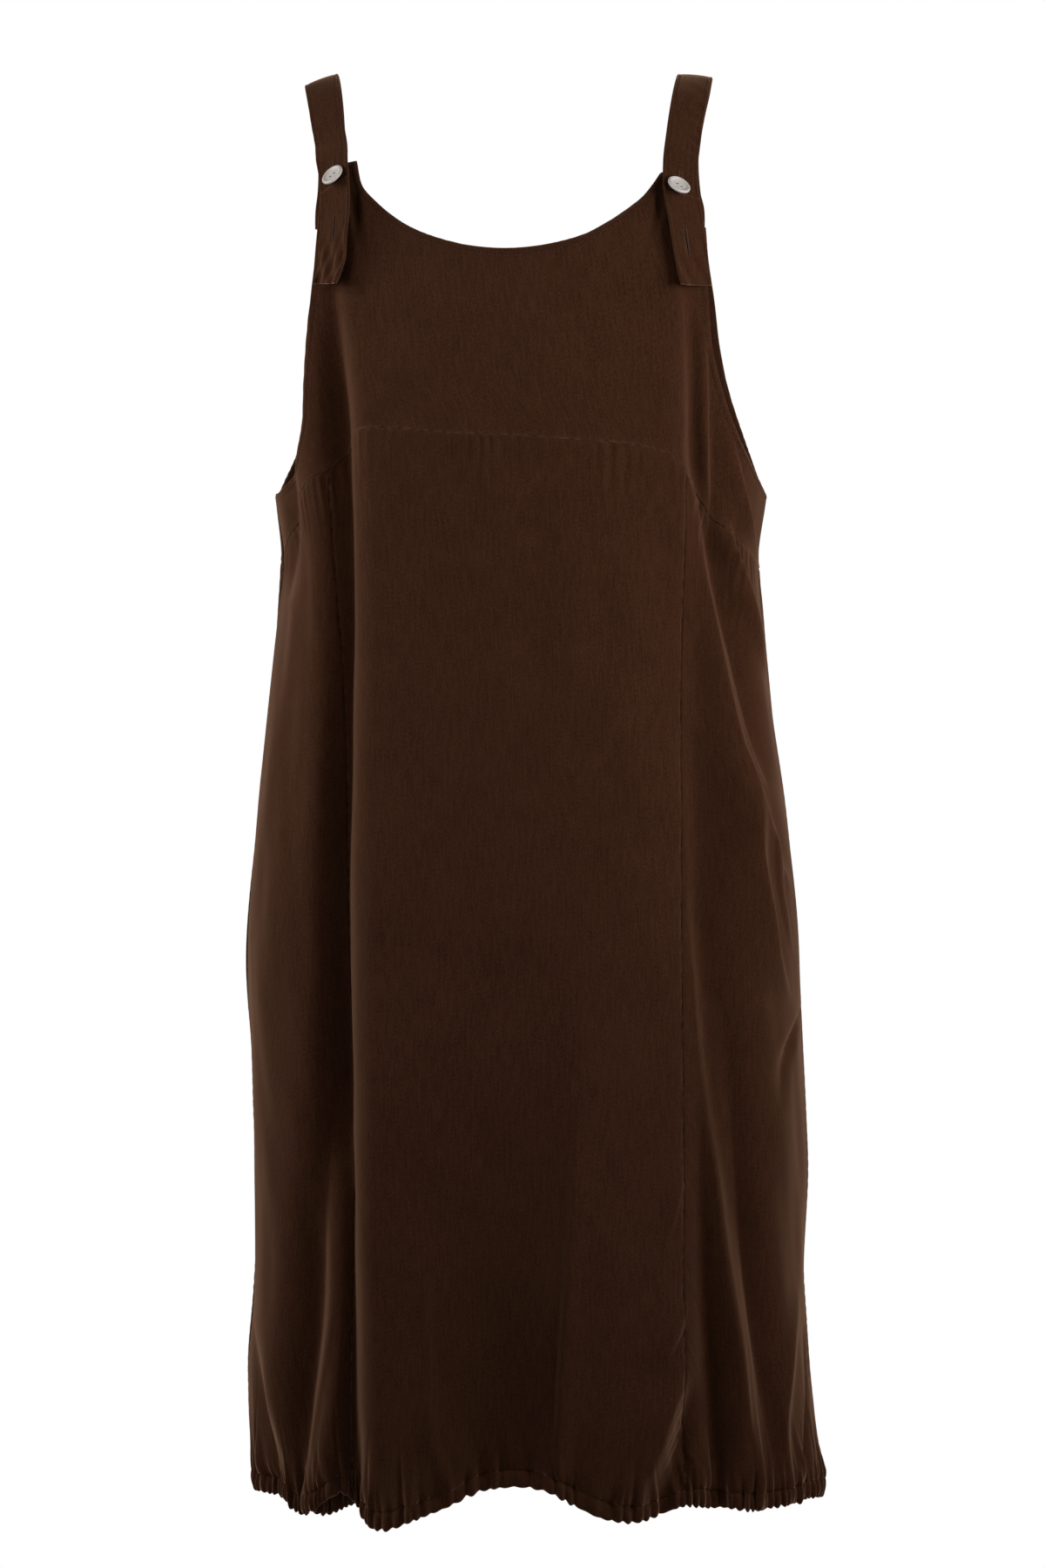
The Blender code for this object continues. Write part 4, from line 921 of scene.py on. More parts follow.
def grid_normals(points):
    """Unit vectors square to a grid of points, from the steps to its neighbours."""
    return unit(np.cross(np.gradient(points, axis=1), np.gradient(points, axis=0)))


def from_edges(points):
    """The length along each row of a grid from its left edge, and from its right edge."""
    steps = np.linalg.norm(np.diff(points, axis=1), axis=-1)
    left = np.concatenate([np.zeros((len(points), 1)), np.cumsum(steps, 1)], axis=1)
    return left, left[:, -1:] - left


def flat_places(points):
    """Each grid point's place on the flat cut: its length along its row from the middle column,
    and that column's length up to the row."""
    middle = points.shape[1] // 2
    along_row = from_edges(points)[0]
    up = lengths(points[:, middle])[:, None]
    return np.stack([along_row - along_row[:, middle:middle + 1], up + 0 * along_row], -1)


def add_wall(name, base, relief, wall, **marks):
    """A cloth wall: the base grid raised by relief along its normals outside, and that grid
    lowered by wall inside, which follows only part of the relief so that it never meets it. It
    returns the piece, its outer face and that face's normals."""
    normal = grid_normals(base)
    outer = base + normal * relief[..., None]
    inner = base + normal * (0.6 * relief - wall)[..., None]
    uv = flat_places(base)
    points = np.concatenate([outer.reshape(-1, 3), inner[::2, ::2].reshape(-1, 3)])
    places = np.concatenate([uv.reshape(-1, 2), uv[::2, ::2].reshape(-1, 2)])
    marks = {mark: np.concatenate([values.reshape(-1), 0 * values[::2, ::2].reshape(-1)])
             for mark, values in marks.items()}
    piece = new_piece(f"{name}_cloth", points, wall_faces(*base.shape[:2]), CORD, places,
                      marks=marks)
    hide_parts(name)
    return piece, outer, grid_normals(outer)


def size_of(base, level=None, upright=None):
    """(width, length, area) of the flat cloth that a grid of points shows. The width and the
    length are its longest row and column, or those of the lines given instead."""
    rows = base if level is None else [level]
    columns = base.transpose(1, 0, 2) if upright is None else [upright]
    area = np.linalg.norm(np.cross(base[:-1, 1:] - base[:-1, :-1], base[1:, :-1] - base[:-1, :-1]),
                          axis=-1).sum()
    return (*(float(max(lengths(line)[-1] for line in lines)) for lines in (rows, columns)),
            float(area))


# --- stitching --------------------------------------------------------------------------------

STITCH_LENGTH = 0.0023
STITCH_PITCH = 0.0030
STITCH_WIDTH = 0.00042
STITCH_HEIGHT = 0.00030
STITCH_SIDES = 5
STITCH_END_DEPTH = 0.3  # how deep its ends dip into the cloth, as a share of its height
# A stitch's outline between its ends: (share of its half length, share of its thickness).
STITCH_OUTLINE = ((-0.82, 0.66), (-0.40, 0.96), (0.40, 0.96), (0.82, 0.66))


def stitch_places(line, normal):
    """Middle, direction and outward normal of each stitch along a line of points."""
    at = lengths(line)
    where = even_places(at[-1], STITCH_PITCH)
    ahead = unit(read_along(where + 0.0008, at, line) - read_along(where - 0.0008, at, line))
    return (read_along(where, at, line), ahead,
            square_to(read_along(where, at, normal), ahead))


def add_stitches(name, runs, finish, length=STITCH_LENGTH, width=STITCH_WIDTH,
                 height=STITCH_HEIGHT):
    """All the stitches of the given runs as one mesh. A stitch is STITCH_OUTLINE turned about its
    own line, flattened to height and half sunk in the cloth."""
    middle, ahead, out = (np.concatenate(parts)[:, None] for parts in zip(*runs))
    side = np.cross(out, ahead)
    angle = np.arange(STITCH_SIDES)[None, :, None] * FULL_TURN / STITCH_SIDES
    rings = [middle + ahead * (share * length / 2)
             + side * (np.cos(angle) * thick * width / 2)
             + out * (np.sin(angle) * thick * height / 2) for share, thick in STITCH_OUTLINE]
    first, last = (middle + ahead * (end * length / 2) - out * height * STITCH_END_DEPTH
                   for end in (-1, 1))
    points = np.concatenate([first, *rings, last], axis=1)
    each = points.shape[1]
    body = quads(numbered(len(rings), STITCH_SIDES, 1, around=True))
    caps = np.concatenate([fan(1, STITCH_SIDES, 0)[:, ::-1],
                           fan(each - 1 - STITCH_SIDES, STITCH_SIDES, each - 1)])
    shift = (np.arange(len(points)) * each)[:, None, None]
    faces = [(part[None] + shift).reshape(-1, part.shape[1]) for part in (body, caps)]
    return new_piece(name, points, faces, finish)


def inset_line(points, normal, distance, keep, upward=True, from_right=False):
    """The line on a piece's face where a distance field has fallen to STITCH_INSET. It is found
    up each column, or along each row from the left or the right edge."""
    fields = [points, normal, distance, keep]
    if not upward:
        fields = [field.swapaxes(0, 1) for field in fields]
        if not from_right:
            fields = [field[::-1] for field in fields]
    points, normal, distance, keep = fields
    inside = distance >= STITCH_INSET
    rows = len(distance)
    last = np.minimum(rows - 1 - np.argmax(inside[::-1], axis=0), rows - 2)
    c = np.arange(distance.shape[1])
    near, far = distance[last, c], distance[last + 1, c]
    share = np.clip((near - STITCH_INSET) / np.maximum(near - far, 1e-9), 0, 1)[:, None]
    good = inside.any(axis=0) & keep[last, c]
    return [(field[last, c] * (1 - share) + field[last + 1, c] * share)[good]
            for field in (points, normal)]


# --- finishes ---------------------------------------------------------------------------------

# Colours are linear.
CORD_GROUND = (0.0275, 0.0083, 0.0034, 1)
CORD_PILE = (0.0570, 0.0214, 0.0096, 1)
CORD_WEAR_AND_SHEEN = (0.1250, 0.0640, 0.0400, 1)
CORD_PAINTED_SHADE = (0.006, 0.0018, 0.0008, 1)
CORD_SHEEN = (0.90, 0.51, 0.32, 1)
THREAD_COLOUR = (0.078, 0.038, 0.022)
DARK_THREAD_COLOUR = (0.034, 0.0145, 0.0085)
BUTTON_COLOUR = (0.60, 0.55, 0.51)
FLOOR_COLOUR = (0.8, 0.8, 0.8, 1)
RIB_SPACING = 0.00135
WEFT_SPACING = 0.0011


class Nodes:
    """Builds the nodes of a material, a node group or the world."""

    def __init__(self, tree):
        self.tree = tree

    def fill(self, place, value):
        """Link an output to a socket, or set the socket to a constant."""
        if isinstance(value, bpy.types.NodeSocket):
            self.tree.links.new(value, place)
        else:
            place.default_value = value

    def add(self, kind, inputs=None, **settings):
        """A new node with its settings, whose sockets take outputs or constants."""
        made = self.tree.nodes.new(kind if kind.startswith("Node") else "ShaderNode" + kind)
        for key, value in settings.items():
            setattr(made, key, value)
        for key, value in (inputs or {}).items():
            self.fill(made.inputs[key], value)
        return made

    def calc(self, operation, *values):
        """The result of a math node on outputs or constants."""
        return self.add("Math", dict(enumerate(values)), operation=operation).outputs[0]

    def weighed(self, start, *parts):
        """start plus the sum of each part times its share."""
        for part, share in parts:
            start = self.calc("ADD", self.calc("MULTIPLY", part, share), start)
        return start


def needlecord_group():
    """Ribbed pile: Height is the ribs with uneven threads, Colour runs from ground to pile with
    the ribs, long faint streaks and slow patches, Roughness follows the streaks."""
    tree = bpy.data.node_groups.new("needlecord", "ShaderNodeTree")
    for way, names in (("INPUT", ("Ground", "Pile", "Worn", "Shade", "Rib spacing")),
                       ("OUTPUT", ("Colour", "Roughness", "Height"))):
        for name in names:
            kind = "Float" if name in ("Rib spacing", "Roughness", "Height") else "Color"
            tree.interface.new_socket(name=name, in_out=way, socket_type="NodeSocket" + kind)
    build = Nodes(tree)
    calc = build.calc
    given = build.add("NodeGroupInput").outputs
    place = build.add("UVMap", uv_map="cut").outputs[0]
    split = build.add("SeparateXYZ", {0: place}).outputs

    def noise(across, up, detail):
        stretched = build.add("Mapping", {"Vector": place, "Scale": (across, up, 1)})
        return build.add("TexNoise", {"Vector": stretched.outputs[0], "Scale": 1.0,
                                      "Detail": detail}).outputs["Fac"]

    def blend(share, first, second):
        return build.add("Mix", {"Factor": share, "A": first, "B": second},
                         data_type="RGBA").outputs["Result"]

    def mark(name):
        return build.add("Attribute", attribute_name=name).outputs["Fac"]

    turns = build.weighed(calc("DIVIDE", split[0], given["Rib spacing"]),
                          (noise(220, 60, 2.0), 0.35))
    rib = calc("ABSOLUTE", calc("SINE", calc("MULTIPLY", turns, math.pi)))
    weft = calc("SINE", calc("MULTIPLY", split[1], FULL_TURN / WEFT_SPACING))
    fluff, grain, streak = noise(2600, 1500, 3.0), noise(640, 520, 3.0), noise(420, 60, 4.0)
    tone = build.weighed(-1.50, (rib, 0.22), (fluff, 0.50), (grain, 1.70), (streak, 1.25),
                         (noise(34, 22, 3.0), 0.45))
    colour = blend(tone, given["Ground"], given["Pile"])
    # Paler where the cloth is worn, with a painted sheen line on it.
    colour = blend(mark("worn"), colour, given["Worn"])
    build.add("NodeGroupOutput", {
        # Darker with painted shade.
        "Colour": blend(mark("shade"), colour, given["Shade"]),
        "Roughness": build.weighed(0.80, (streak, 0.14)),
        "Height": build.weighed(0.0, (rib, 0.60), (fluff, 0.45), (weft, 0.05)),
    })
    return tree


NEEDLECORD = needlecord_group()


def finish(name, sockets):
    """A material whose shader takes what sockets(build) says for its sockets."""
    made = bpy.data.materials.new(name)
    made.use_nodes = True
    build = Nodes(made.node_tree)
    shader = made.node_tree.nodes["Principled BSDF"]
    for key, value in sockets(build).items():
        build.fill(shader.inputs[key], value)
    return made


def cord(build):
    """Needlecord: the pile's colour and relief, with a soft brown sheen where it is seen edge
    on."""
    pile = build.add("Group", {"Ground": CORD_GROUND, "Pile": CORD_PILE, "Worn": CORD_WEAR_AND_SHEEN,
                               "Shade": CORD_PAINTED_SHADE, "Rib spacing": RIB_SPACING},
                     node_tree=NEEDLECORD).outputs
    bump = build.add("Bump", {"Strength": 0.55, "Distance": 0.00025, "Height": pile["Height"]})
    return {"Base Color": pile["Colour"], "Roughness": pile["Roughness"],
            "Normal": bump.outputs[0], "Specular IOR Level": 0.05, "Sheen Weight": 0.60,
            "Sheen Roughness": 0.40, "Sheen Tint": CORD_SHEEN}


def cloudy(build, colour, scale, detail, dark, pale):
    """(noise, tones): slow noise over the object, and the colour times dark to pale with it."""
    place = build.add("TexCoord").outputs["Object"]
    noise = build.add("TexNoise", {"Vector": place, "Scale": scale, "Detail": detail})
    tones = build.add("ValToRGB", {"Fac": noise.outputs["Fac"]})
    for end, share in zip(tones.color_ramp.elements, (dark, pale)):
        end.color = (*(share * c for c in colour), 1)
    return noise.outputs["Fac"], tones.outputs["Color"]


def thread(colour):
    """Matt sewing thread with a fine twist."""
    return lambda build: {"Base Color": cloudy(build, colour, 900, 2.0, 0.72, 1.35)[1],
                          "Roughness": 0.7, "Specular IOR Level": 0.2}


def turned_plastic(build):
    """Off-white turned plastic: faint cloudy patches and a slightly uneven gloss."""
    noise, tones = cloudy(build, BUTTON_COLOUR, 240, 4.0, 0.90, 1.06)
    rough = build.add("MapRange", {"Value": noise, "To Min": 0.38, "To Max": 0.52})
    bump = build.add("Bump", {"Strength": 0.08, "Distance": 0.0001, "Height": noise})
    return {"Base Color": tones, "Roughness": rough.outputs[0], "Normal": bump.outputs[0]}


CORD = finish("brown_needlecord", cord)
THREAD = finish("sewing_thread", thread(THREAD_COLOUR))
DARK_THREAD = finish("dark_sewing_thread", thread(DARK_THREAD_COLOUR))
BUTTON = finish("off_white_button", turned_plastic)

# --- skirt ------------------------------------------------------------------------------------

# Each panel: its left and right seams, the columns and rows of its grid.
PANELS = {
    "side_left": ("side_left", "front_left", 166, 240),
    "front": ("front_left", "front_right", 290, 250),
    "side_right": ("front_right", "side_right", 200, 260),
    "back_right": ("side_right", "back_middle", 150, 220),
    "back_left": ("back_middle", "side_left_again", 150, 220),
}


def add_skirt_panel(name):
    """A skirt panel with its seams, the puckers under the yoke and the gathers over the hem."""
    left_seam, right_seam, columns, rows = PANELS[name]
    grid = skirt_grid(SEAM_TURNS[left_seam], SEAM_TURNS[right_seam], columns, rows)
    turn, height = grid[..., 0], grid[..., 1]
    base = cloth(turn, height)
    left, right = from_edges(base)
    below = yoke_height(turn) - height
    relief = (common_relief(turn, height)
              + seams_relief(left, right, height, (left_seam, right_seam))
              + yoke_relief(turn, height) + hem_relief(turn, height)
              - 0.0003 * bell(below, 0.0013))
    # Painted shade: dark dashes down both seams.
    shade = (seam_shade(left, height, left_seam) + seam_shade(right, height, right_seam)
             # Then a thin line of painted shade just under the yoke seam's proud edge, and the
             # patch beside the knee crease.
             + 0.06 * bell(below, 0.0012) + painted_knee_shade(turn, height))
    piece, _, _ = add_wall(f"skirt_{name}", base, relief, CLOTH_WALL + 0 * relief,
                           worn=0 * relief, shade=np.clip(shade, 0, 1))
    return piece, size_of(base)


# --- bodice -----------------------------------------------------------------------------------

STITCH_FOOT = -0.330  # the lowest stitch beside an armhole
# Along the stitching: (depth, width) of its groove, (height, width, pitch) of the puckers beside
# it, and the height of the cloth's puff between it and the edge.
STITCH_GROOVE = (0.00030, 0.0008)
STITCH_PUCKER = (0.00016, 0.0032, 0.0062)
EDGE_PUFF = 0.00022
YOKE_LIP = (0.00055, 0.0032)  # how proud the bodice's lower edge stands, and how far up


def add_bodice(face, armhole, neck, columns, rows, seams):
    """A bodice half: turned and stitched along its armholes and its neckline, and sewn to the
    skirt along the yoke seam, where its lower edge stands a little proud."""
    grid = bodice_grid(armhole, neck, face, columns, rows)
    turn, height = grid[..., 0], grid[..., 1]
    base = cloth(turn, height)
    left_arm, right_arm = (
        base[int(np.argmin(np.abs(height[:, k] - UNDERARM[seam[5:]]))):, k]
        for k, seam in zip((0, -1), seams))
    to_top, at_top = nearest(base, base[-1])
    to_left, at_left = nearest(base, left_arm)
    to_right, at_right = nearest(base, right_arm)
    to_arm = np.minimum(to_left, to_right)
    free = np.minimum(to_top, to_arm)
    at = np.where(to_top <= to_arm, at_top, np.where(to_left < to_right, at_left, at_right))
    above = height - yoke_height(turn)
    underarm = min(UNDERARM.values())
    below_arm = 1 - ramp(height, underarm - 0.012, underarm - 0.004)
    from_stitches = free - STITCH_INSET
    puff = EDGE_PUFF * ramp(free, 0.0003, 0.0015) * (1 - ramp(free, 0.0036, STITCH_INSET))
    depth, groove_width = STITCH_GROOVE
    size, pucker_width, pitch = STITCH_PUCKER
    tight = size * np.sin(FULL_TURN * at / pitch + 2 * wander(at / 0.02, 0.6))
    lip, lip_width = YOKE_LIP
    relief = (
        common_relief(turn, height) * ramp(free, 0.0, 0.004)
        + seams_relief(*from_edges(base), height, seams) * below_arm
        - depth * bell(from_stitches, groove_width) + puff
        + tight * bell(from_stitches, pucker_width)
        + edge_roll(free) + lip * bell(above, lip_width) + edge_roll(above, 0.0006)
    )
    double = 1 - ramp(free, FACING_WIDTH - 0.003, FACING_WIDTH)
    wall = CLOTH_WALL + (FACING_WALL - CLOTH_WALL) * double + edge_roll(free)
    # A paler dashed line along the bodice's lower edge at the yoke seam: wear, together with a
    # painted sheen on that proud edge.
    worn = ramp(wander(turn * METRES_PER_RADIAN / 0.0010, 2.2), -0.5, 0.4)
    # The stitching's groove is darkened with painted shade.
    piece, outer, normal = add_wall(f"bodice_{face}", base, relief, wall,
                                    worn=0.9 * worn * bell(above, 0.0010),
                                    shade=0.35 * bell(from_stitches, 0.0007))
    keep = (to_top >= STITCH_INSET) & (height > STITCH_FOOT)
    runs = [
        stitch_places(*inset_line(outer, normal, to_top, to_arm >= STITCH_INSET)),
        stitch_places(*inset_line(outer, normal, to_left, keep, upward=False)),
        stitch_places(*inset_line(outer, normal, to_right, keep, upward=False,
                                  from_right=True)),
    ]
    round_line = np.linspace(grid[0, 0, 0], grid[0, -1, 0], 400)
    up_line = np.linspace(height.min(), height.max(), 200)
    size = size_of(base, cloth(round_line, np.full(400, underarm)),
                   cloth(np.full(200, turn[-1, 0]), up_line))
    return piece, size, runs


# --- hem casing -------------------------------------------------------------------------------

CASING_POINTS = 20
POINTS_PER_GATHER = 8


def add_casing():
    """The gathered hem: CASING_SECTION carried round the skirt's lower edge, each place pushed
    in or out by the gathers, which also scallop its lowest line."""
    count = np.arange(GATHERS * POINTS_PER_GATHER) / POINTS_PER_GATHER
    turn = np.interp(count, GATHER_COUNTS, GATHER_TURNS)
    edge = cloth(turn, casing_top(turn))
    ahead = np.roll(edge, -1, 0) - np.roll(edge, 1, 0)
    ahead[:, 2] = 0
    out = unit(np.cross(ahead, (0, 0, 1.0)))
    section = along(CASING_SECTION, CASING_POINTS)
    outwards, down = section.T[:, None]
    wave = gather_wave(turn)[:, None]
    top = (hem_relief(turn, casing_top(turn)) + common_relief(turn, casing_top(turn)))[:, None]
    share = down / CASING_HEIGHT
    push = outwards + top * (1 - 0.55 * share) + 0.0010 * wave * ramp(share, 0.0, 0.45)
    points = edge[:, None] + out[:, None] * push[..., None]
    points[..., 2] -= down * (1 + 0.13 * wave + 0.12 * wander(count * 0.37, 2.6)[:, None])
    points = points.transpose(1, 0, 2)[::-1]
    places = np.stack(np.broadcast_arrays(lengths(edge)[None, :], section[::-1, 1][:, None]), -1)
    faces = quads(numbered(*points.shape[:2], around=True, over=True))
    piece = new_piece("hem_casing_cloth", points, [faces], CORD, places)
    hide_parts("hem_casing")
    return piece, float(lengths(edge)[-1])


# --- straps -----------------------------------------------------------------------------------

STRAP_STEPS = 300
STRAP_SIDES = 34  # points across each face of a strap
STRAP_STITCH_INSET = 0.0030
STRAP_EDGE_RADIUS = 0.0013
STRAP_GROOVE = (0.00030, 0.0007)  # (depth, width) along its stitches
STRAP_CROWN = 0.0010  # how much it arches across over the shoulder
STRAP_CURL = (0.020, 0.0042, 0.0012)  # (length, height of the inner corner, of the whole end)
BACK_TAB_TOP = NECK_BACK[0][1]
TAIL_TOP = -0.150  # below this a tail waves most
# Each strap's creases: (where its wrinkles begin across it and up it, their height), its fold
# below the button as (height, slant, depth, the ridge below it, how far below), and its tail's
# waves as (where they end, the waves as (height, rate across, rate down, start)).
STRAP_CREASES = {
    "left": ((-0.2, -0.070, 0.00018), (-0.0880, 0.0034, 0.0010, 0.0006, 0.0034),
             (-0.112, ((0.0011, 6.2, 150, 1.2), (0.0006, 11, -230, 0)))),
    "right": ((-0.4, -0.075, 0.00036), (-0.0975, 0.0060, 0.0011, 0.0007, 0.0035),
              (-0.118, ((0.0006, 7.5, 190, 0), (0.0004, 3, 0, -1)))),
}
# Each buttonhole: (the height of its middle, how far it is from the strap's middle line).
BUTTONHOLES = {
    "left": ((-0.0775, -0.0002), (-0.1205, 0.0012)),
    "right": ((-0.0862, 0.0000), (-0.1320, -0.0025)),
}
BUTTONHOLE_LENGTH = 0.0215
BUTTONHOLE_SLIT = (0.0011, 0.00055)  # (depth, width)
BUTTONHOLE_PITCH = 0.00075
BUTTONHOLE_BESIDE = 0.00115  # from the slit to the middle of the stitches beside it


def strap_frames(side):
    """For each even step along a strap, from its back end over the shoulder to the end of its
    tail: its middle, the unit vector across it, and the one out of its face."""
    strap = STRAPS[side]
    rows = []

    def add(middle, yaw, slope):
        yaw, slope = math.radians(yaw), math.radians(slope)
        width = (math.cos(slope) * math.cos(yaw), math.cos(slope) * math.sin(yaw), math.sin(slope))
        rows.append((*middle, *(WIDTH_WEIGHT * w for w in width)))

    def on_cloth(across, height, lift, face):
        turn, height = turn_at(across, height, face), np.asarray(height)
        return cloth(turn, height) + outward(turn, height) * lift

    tab_turn = turn_at(strap["back_across"], BACK_TAB_TOP, "back")
    _, _, along_x, along_y, _ = ring(tab_turn, BACK_TAB_TOP)
    for rise in (-0.0016, 0.008):
        seat = on_cloth(strap["back_across"], BACK_TAB_TOP + rise, -FACING_WALL / 2, "back")
        add(seat, math.degrees(math.atan2(-along_y, -along_x)), 0)
    for *place, yaw, slope in strap["shoulder"]:
        add(mm(place)[0], yaw, slope)
    for *place, yaw in strap["tail"]:
        height, across, lift = mm(place)[0]
        add(on_cloth(across, height, lift + STRAP_THICKNESS / 2, "front"), yaw, 0)
    rows = along(rows, STRAP_STEPS)
    middle = rows[:, :3]
    ahead = unit(np.gradient(middle, axis=0))
    across = square_to(rows[:, 3:], ahead)
    return middle, across, np.cross(ahead, across)


STRAP_FRAMES = {side: strap_frames(side) for side in STRAPS}


def step_at(side, height):
    """The step of a strap's front part that is at a height."""
    middle = STRAP_FRAMES[side][0]
    return int(np.where(middle[:, 1] < 0, np.abs(middle[:, 2] - height), 1).argmin())


def strap_relief(side, down, u):
    """Small creases in a strap. down is the height of its middle line (low at the tail's end),
    u runs from -1 to 1 across it, and v the same way as seen in a mirror on the left strap."""
    (begin, low, size), fold, (tail_end, waves) = STRAP_CREASES[side]
    fold_height, slant, depth, ridge, apart = fold
    v = u if side == "right" else -u
    cross = np.sin(FULL_TURN * (down + 0.006 * u) / 0.0088 + 1.6 * wander(down / 0.02, 0.8))
    where = ramp(v, begin, begin + 1) * ramp(down, low, low + 0.015)
    off = down - fold_height - slant * (1 - v)
    tail = sum(high * np.sin(across * u + downwards * down + start)
               for high, across, downwards, start in waves)
    return (size * cross * where * (1 - ramp(down, -0.012, 0.0))
            - depth * bell(off, 0.0016) + ridge * bell(off + apart, 0.0024)
            + (1 - ramp(down, TAIL_TOP, tail_end)) * tail)


def strap_curl(side, down, u):
    """How far the loose end of a tail lifts off: its inner lower corner curls outwards."""
    end = STRAPS[side]["tail"][-1][0] / 1000
    length, corner, whole = STRAP_CURL
    near = np.clip((end + length - down) / length, 0, 1)
    inner = ramp(u if side == "left" else -u, -0.2, 1.0)
    return corner * near**2 * inner + whole * near**2


def strap_slits(side, down, offset):
    """The depth of the two buttonhole slits in a strap."""
    depth, width = BUTTONHOLE_SLIT
    total = 0
    for middle_height, beside in BUTTONHOLES[side]:
        past_end = np.abs(down - middle_height) - BUTTONHOLE_LENGTH / 2 + 0.001
        total = total + depth * bell(offset - beside, width) * (
            1 - ramp(past_end, -0.0008, 0.0006))
    return total


def add_strap(side):
    """A strap of double cloth: a flat band with round edges, stitched along both, creased where
    it bends and curled at the loose end of its tail."""
    middle, across, out = STRAP_FRAMES[side]
    half, thick = STRAP_WIDTH / 2, STRAP_THICKNESS / 2
    down = middle[:, 2:3]
    on_front = ramp(-middle[:, 1:2], 0.0, 0.02)
    u = -np.cos(np.linspace(0, math.pi, STRAP_SIDES))
    u = np.sign(u) * np.abs(u) ** 0.85
    from_edge = (1 - np.abs(u)) * half
    fall = 1 - np.sqrt(1 - np.clip(1 - from_edge / STRAP_EDGE_RADIUS, 0, 1) ** 2)
    depth, groove_width = STRAP_GROOVE
    groove = depth * bell(from_edge - STRAP_STITCH_INSET, groove_width)
    edge = 0.00018 * (1 - ramp(from_edge, 0.0015, 0.003))
    face = (thick + edge) * (1 - fall) - groove
    crown = STRAP_CROWN * ramp(down, -0.045, -0.006) * (1 - u**2)
    lift = strap_relief(side, down, u) * on_front + crown
    curl = strap_curl(side, down, u) * on_front
    front = face + lift * (1 - fall) + curl - strap_slits(side, down, u * half)
    back = -face + 0.7 * lift * (1 - fall) + curl
    top, low = (middle[:, None] + across[:, None] * (half * u)[:, None]
                + out[:, None] * height[..., None] for height in (front, back))
    points = np.concatenate([top, low[:, -2:0:-1]], axis=1)
    points[0, :, 2] = BACK_TAB_TOP + 0.0003
    numbers = numbered(*points.shape[:2], around=True)
    # Each end is closed by the strip of quads between its two faces, with a triangle at its ends.
    front_row, back_row = numbers[0, :STRAP_SIDES], numbers[0, :STRAP_SIDES - 2:-1]
    last = numbers[-1, 0]
    cap = quads(np.stack([front_row[1:-1], back_row[1:-1]]))
    ends = np.array([[0, 1, back_row[1]], [STRAP_SIDES - 2, STRAP_SIDES - 1, STRAP_SIDES]])
    at = lengths(middle)
    flat_u = np.concatenate([u, u[-2:0:-1]]) * half
    places = np.stack(np.broadcast_arrays(flat_u[None], at[:, None]), -1)
    piece = new_piece(f"strap_{side}_cloth", points,
                      [quads(numbers)[:, ::-1], cap, cap[:, ::-1] + last, ends,
                       ends[:, ::-1] + last], CORD, places)
    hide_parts(f"strap_{side}")
    runs = []
    for edge in (-1, 1):
        k = int(np.argmin(np.abs(u * half - edge * (half - STRAP_STITCH_INSET))))
        runs.append(stitch_places(top[4:-4, k], out[4:-4]))
    end = len(middle) - 1 - int(round(STRAP_STITCH_INSET / (at[-1] / len(middle))))
    inside = np.abs(u * half) <= half - STRAP_STITCH_INSET
    runs.append(stitch_places(top[end, inside], np.broadcast_to(out[end], (inside.sum(), 3))))
    return piece, float(at[-1]), runs


def buttonhole_runs(side):
    """The stitches round a strap's buttonholes: short ones square to the slit, down both its
    sides."""
    runs = []
    for middle_height, beside in BUTTONHOLES[side]:
        top, foot = (middle_height + end * BUTTONHOLE_LENGTH / 2 for end in (1, -1))
        part = slice(step_at(side, top), step_at(side, foot))
        middle, across, out = (values[part] for values in STRAP_FRAMES[side])
        at = lengths(middle)
        where = even_places(at[-1], BUTTONHOLE_PITCH)
        middle, across, out = (read_along(where, at, values) for values in (middle, across, out))
        for edge in (-1, 1):
            offset = beside + edge * BUTTONHOLE_BESIDE
            lift = STRAP_THICKNESS / 2 + strap_relief(side, top - where,
                                                      offset / (STRAP_WIDTH / 2))
            runs.append((middle + across * offset + out * lift[:, None], across, out))
    return runs


# --- buttons ----------------------------------------------------------------------------------

# From the middle of the face over the rim to the middle of the back: (share of the radius, share
# of the thickness).
BUTTON_OUTLINE = (
    (0.04, 0.62), (0.30, 0.63), (0.55, 0.67), (0.68, 0.78), (0.78, 0.94), (0.86, 1.00),
    (0.93, 0.95), (0.98, 0.80), (1.00, 0.58), (0.98, 0.38), (0.90, 0.16), (0.74, 0.02),
    (0.40, 0.00), (0.04, 0.00),
)
BUTTON_RINGS = 64
BUTTON_SIDES = 96
BUTTON_HOLE_DEPTH = 0.0016


def button_place(side):
    """The matrix that stands a button on its strap: its face turned to button_facing."""
    middle, _, out = STRAP_FRAMES[side]
    strap = STRAPS[side]
    at = step_at(side, strap["button_height"])
    facing = Vector(strap["button_facing"]).normalized()
    holes = Vector(strap["hole_line"])
    holes = (holes - facing * holes.dot(facing)).normalized()
    place = Matrix((holes, facing.cross(holes), facing)).transposed().to_4x4()
    place.translation = Vector(middle[at] + out[at] * strap["button_stand"])
    place.translation.x = strap["button_across"]
    place.translation.z = strap["button_height"]
    return place


def placed(points, place):
    return points @ np.array(place.to_3x3()).T + np.array(place.translation)


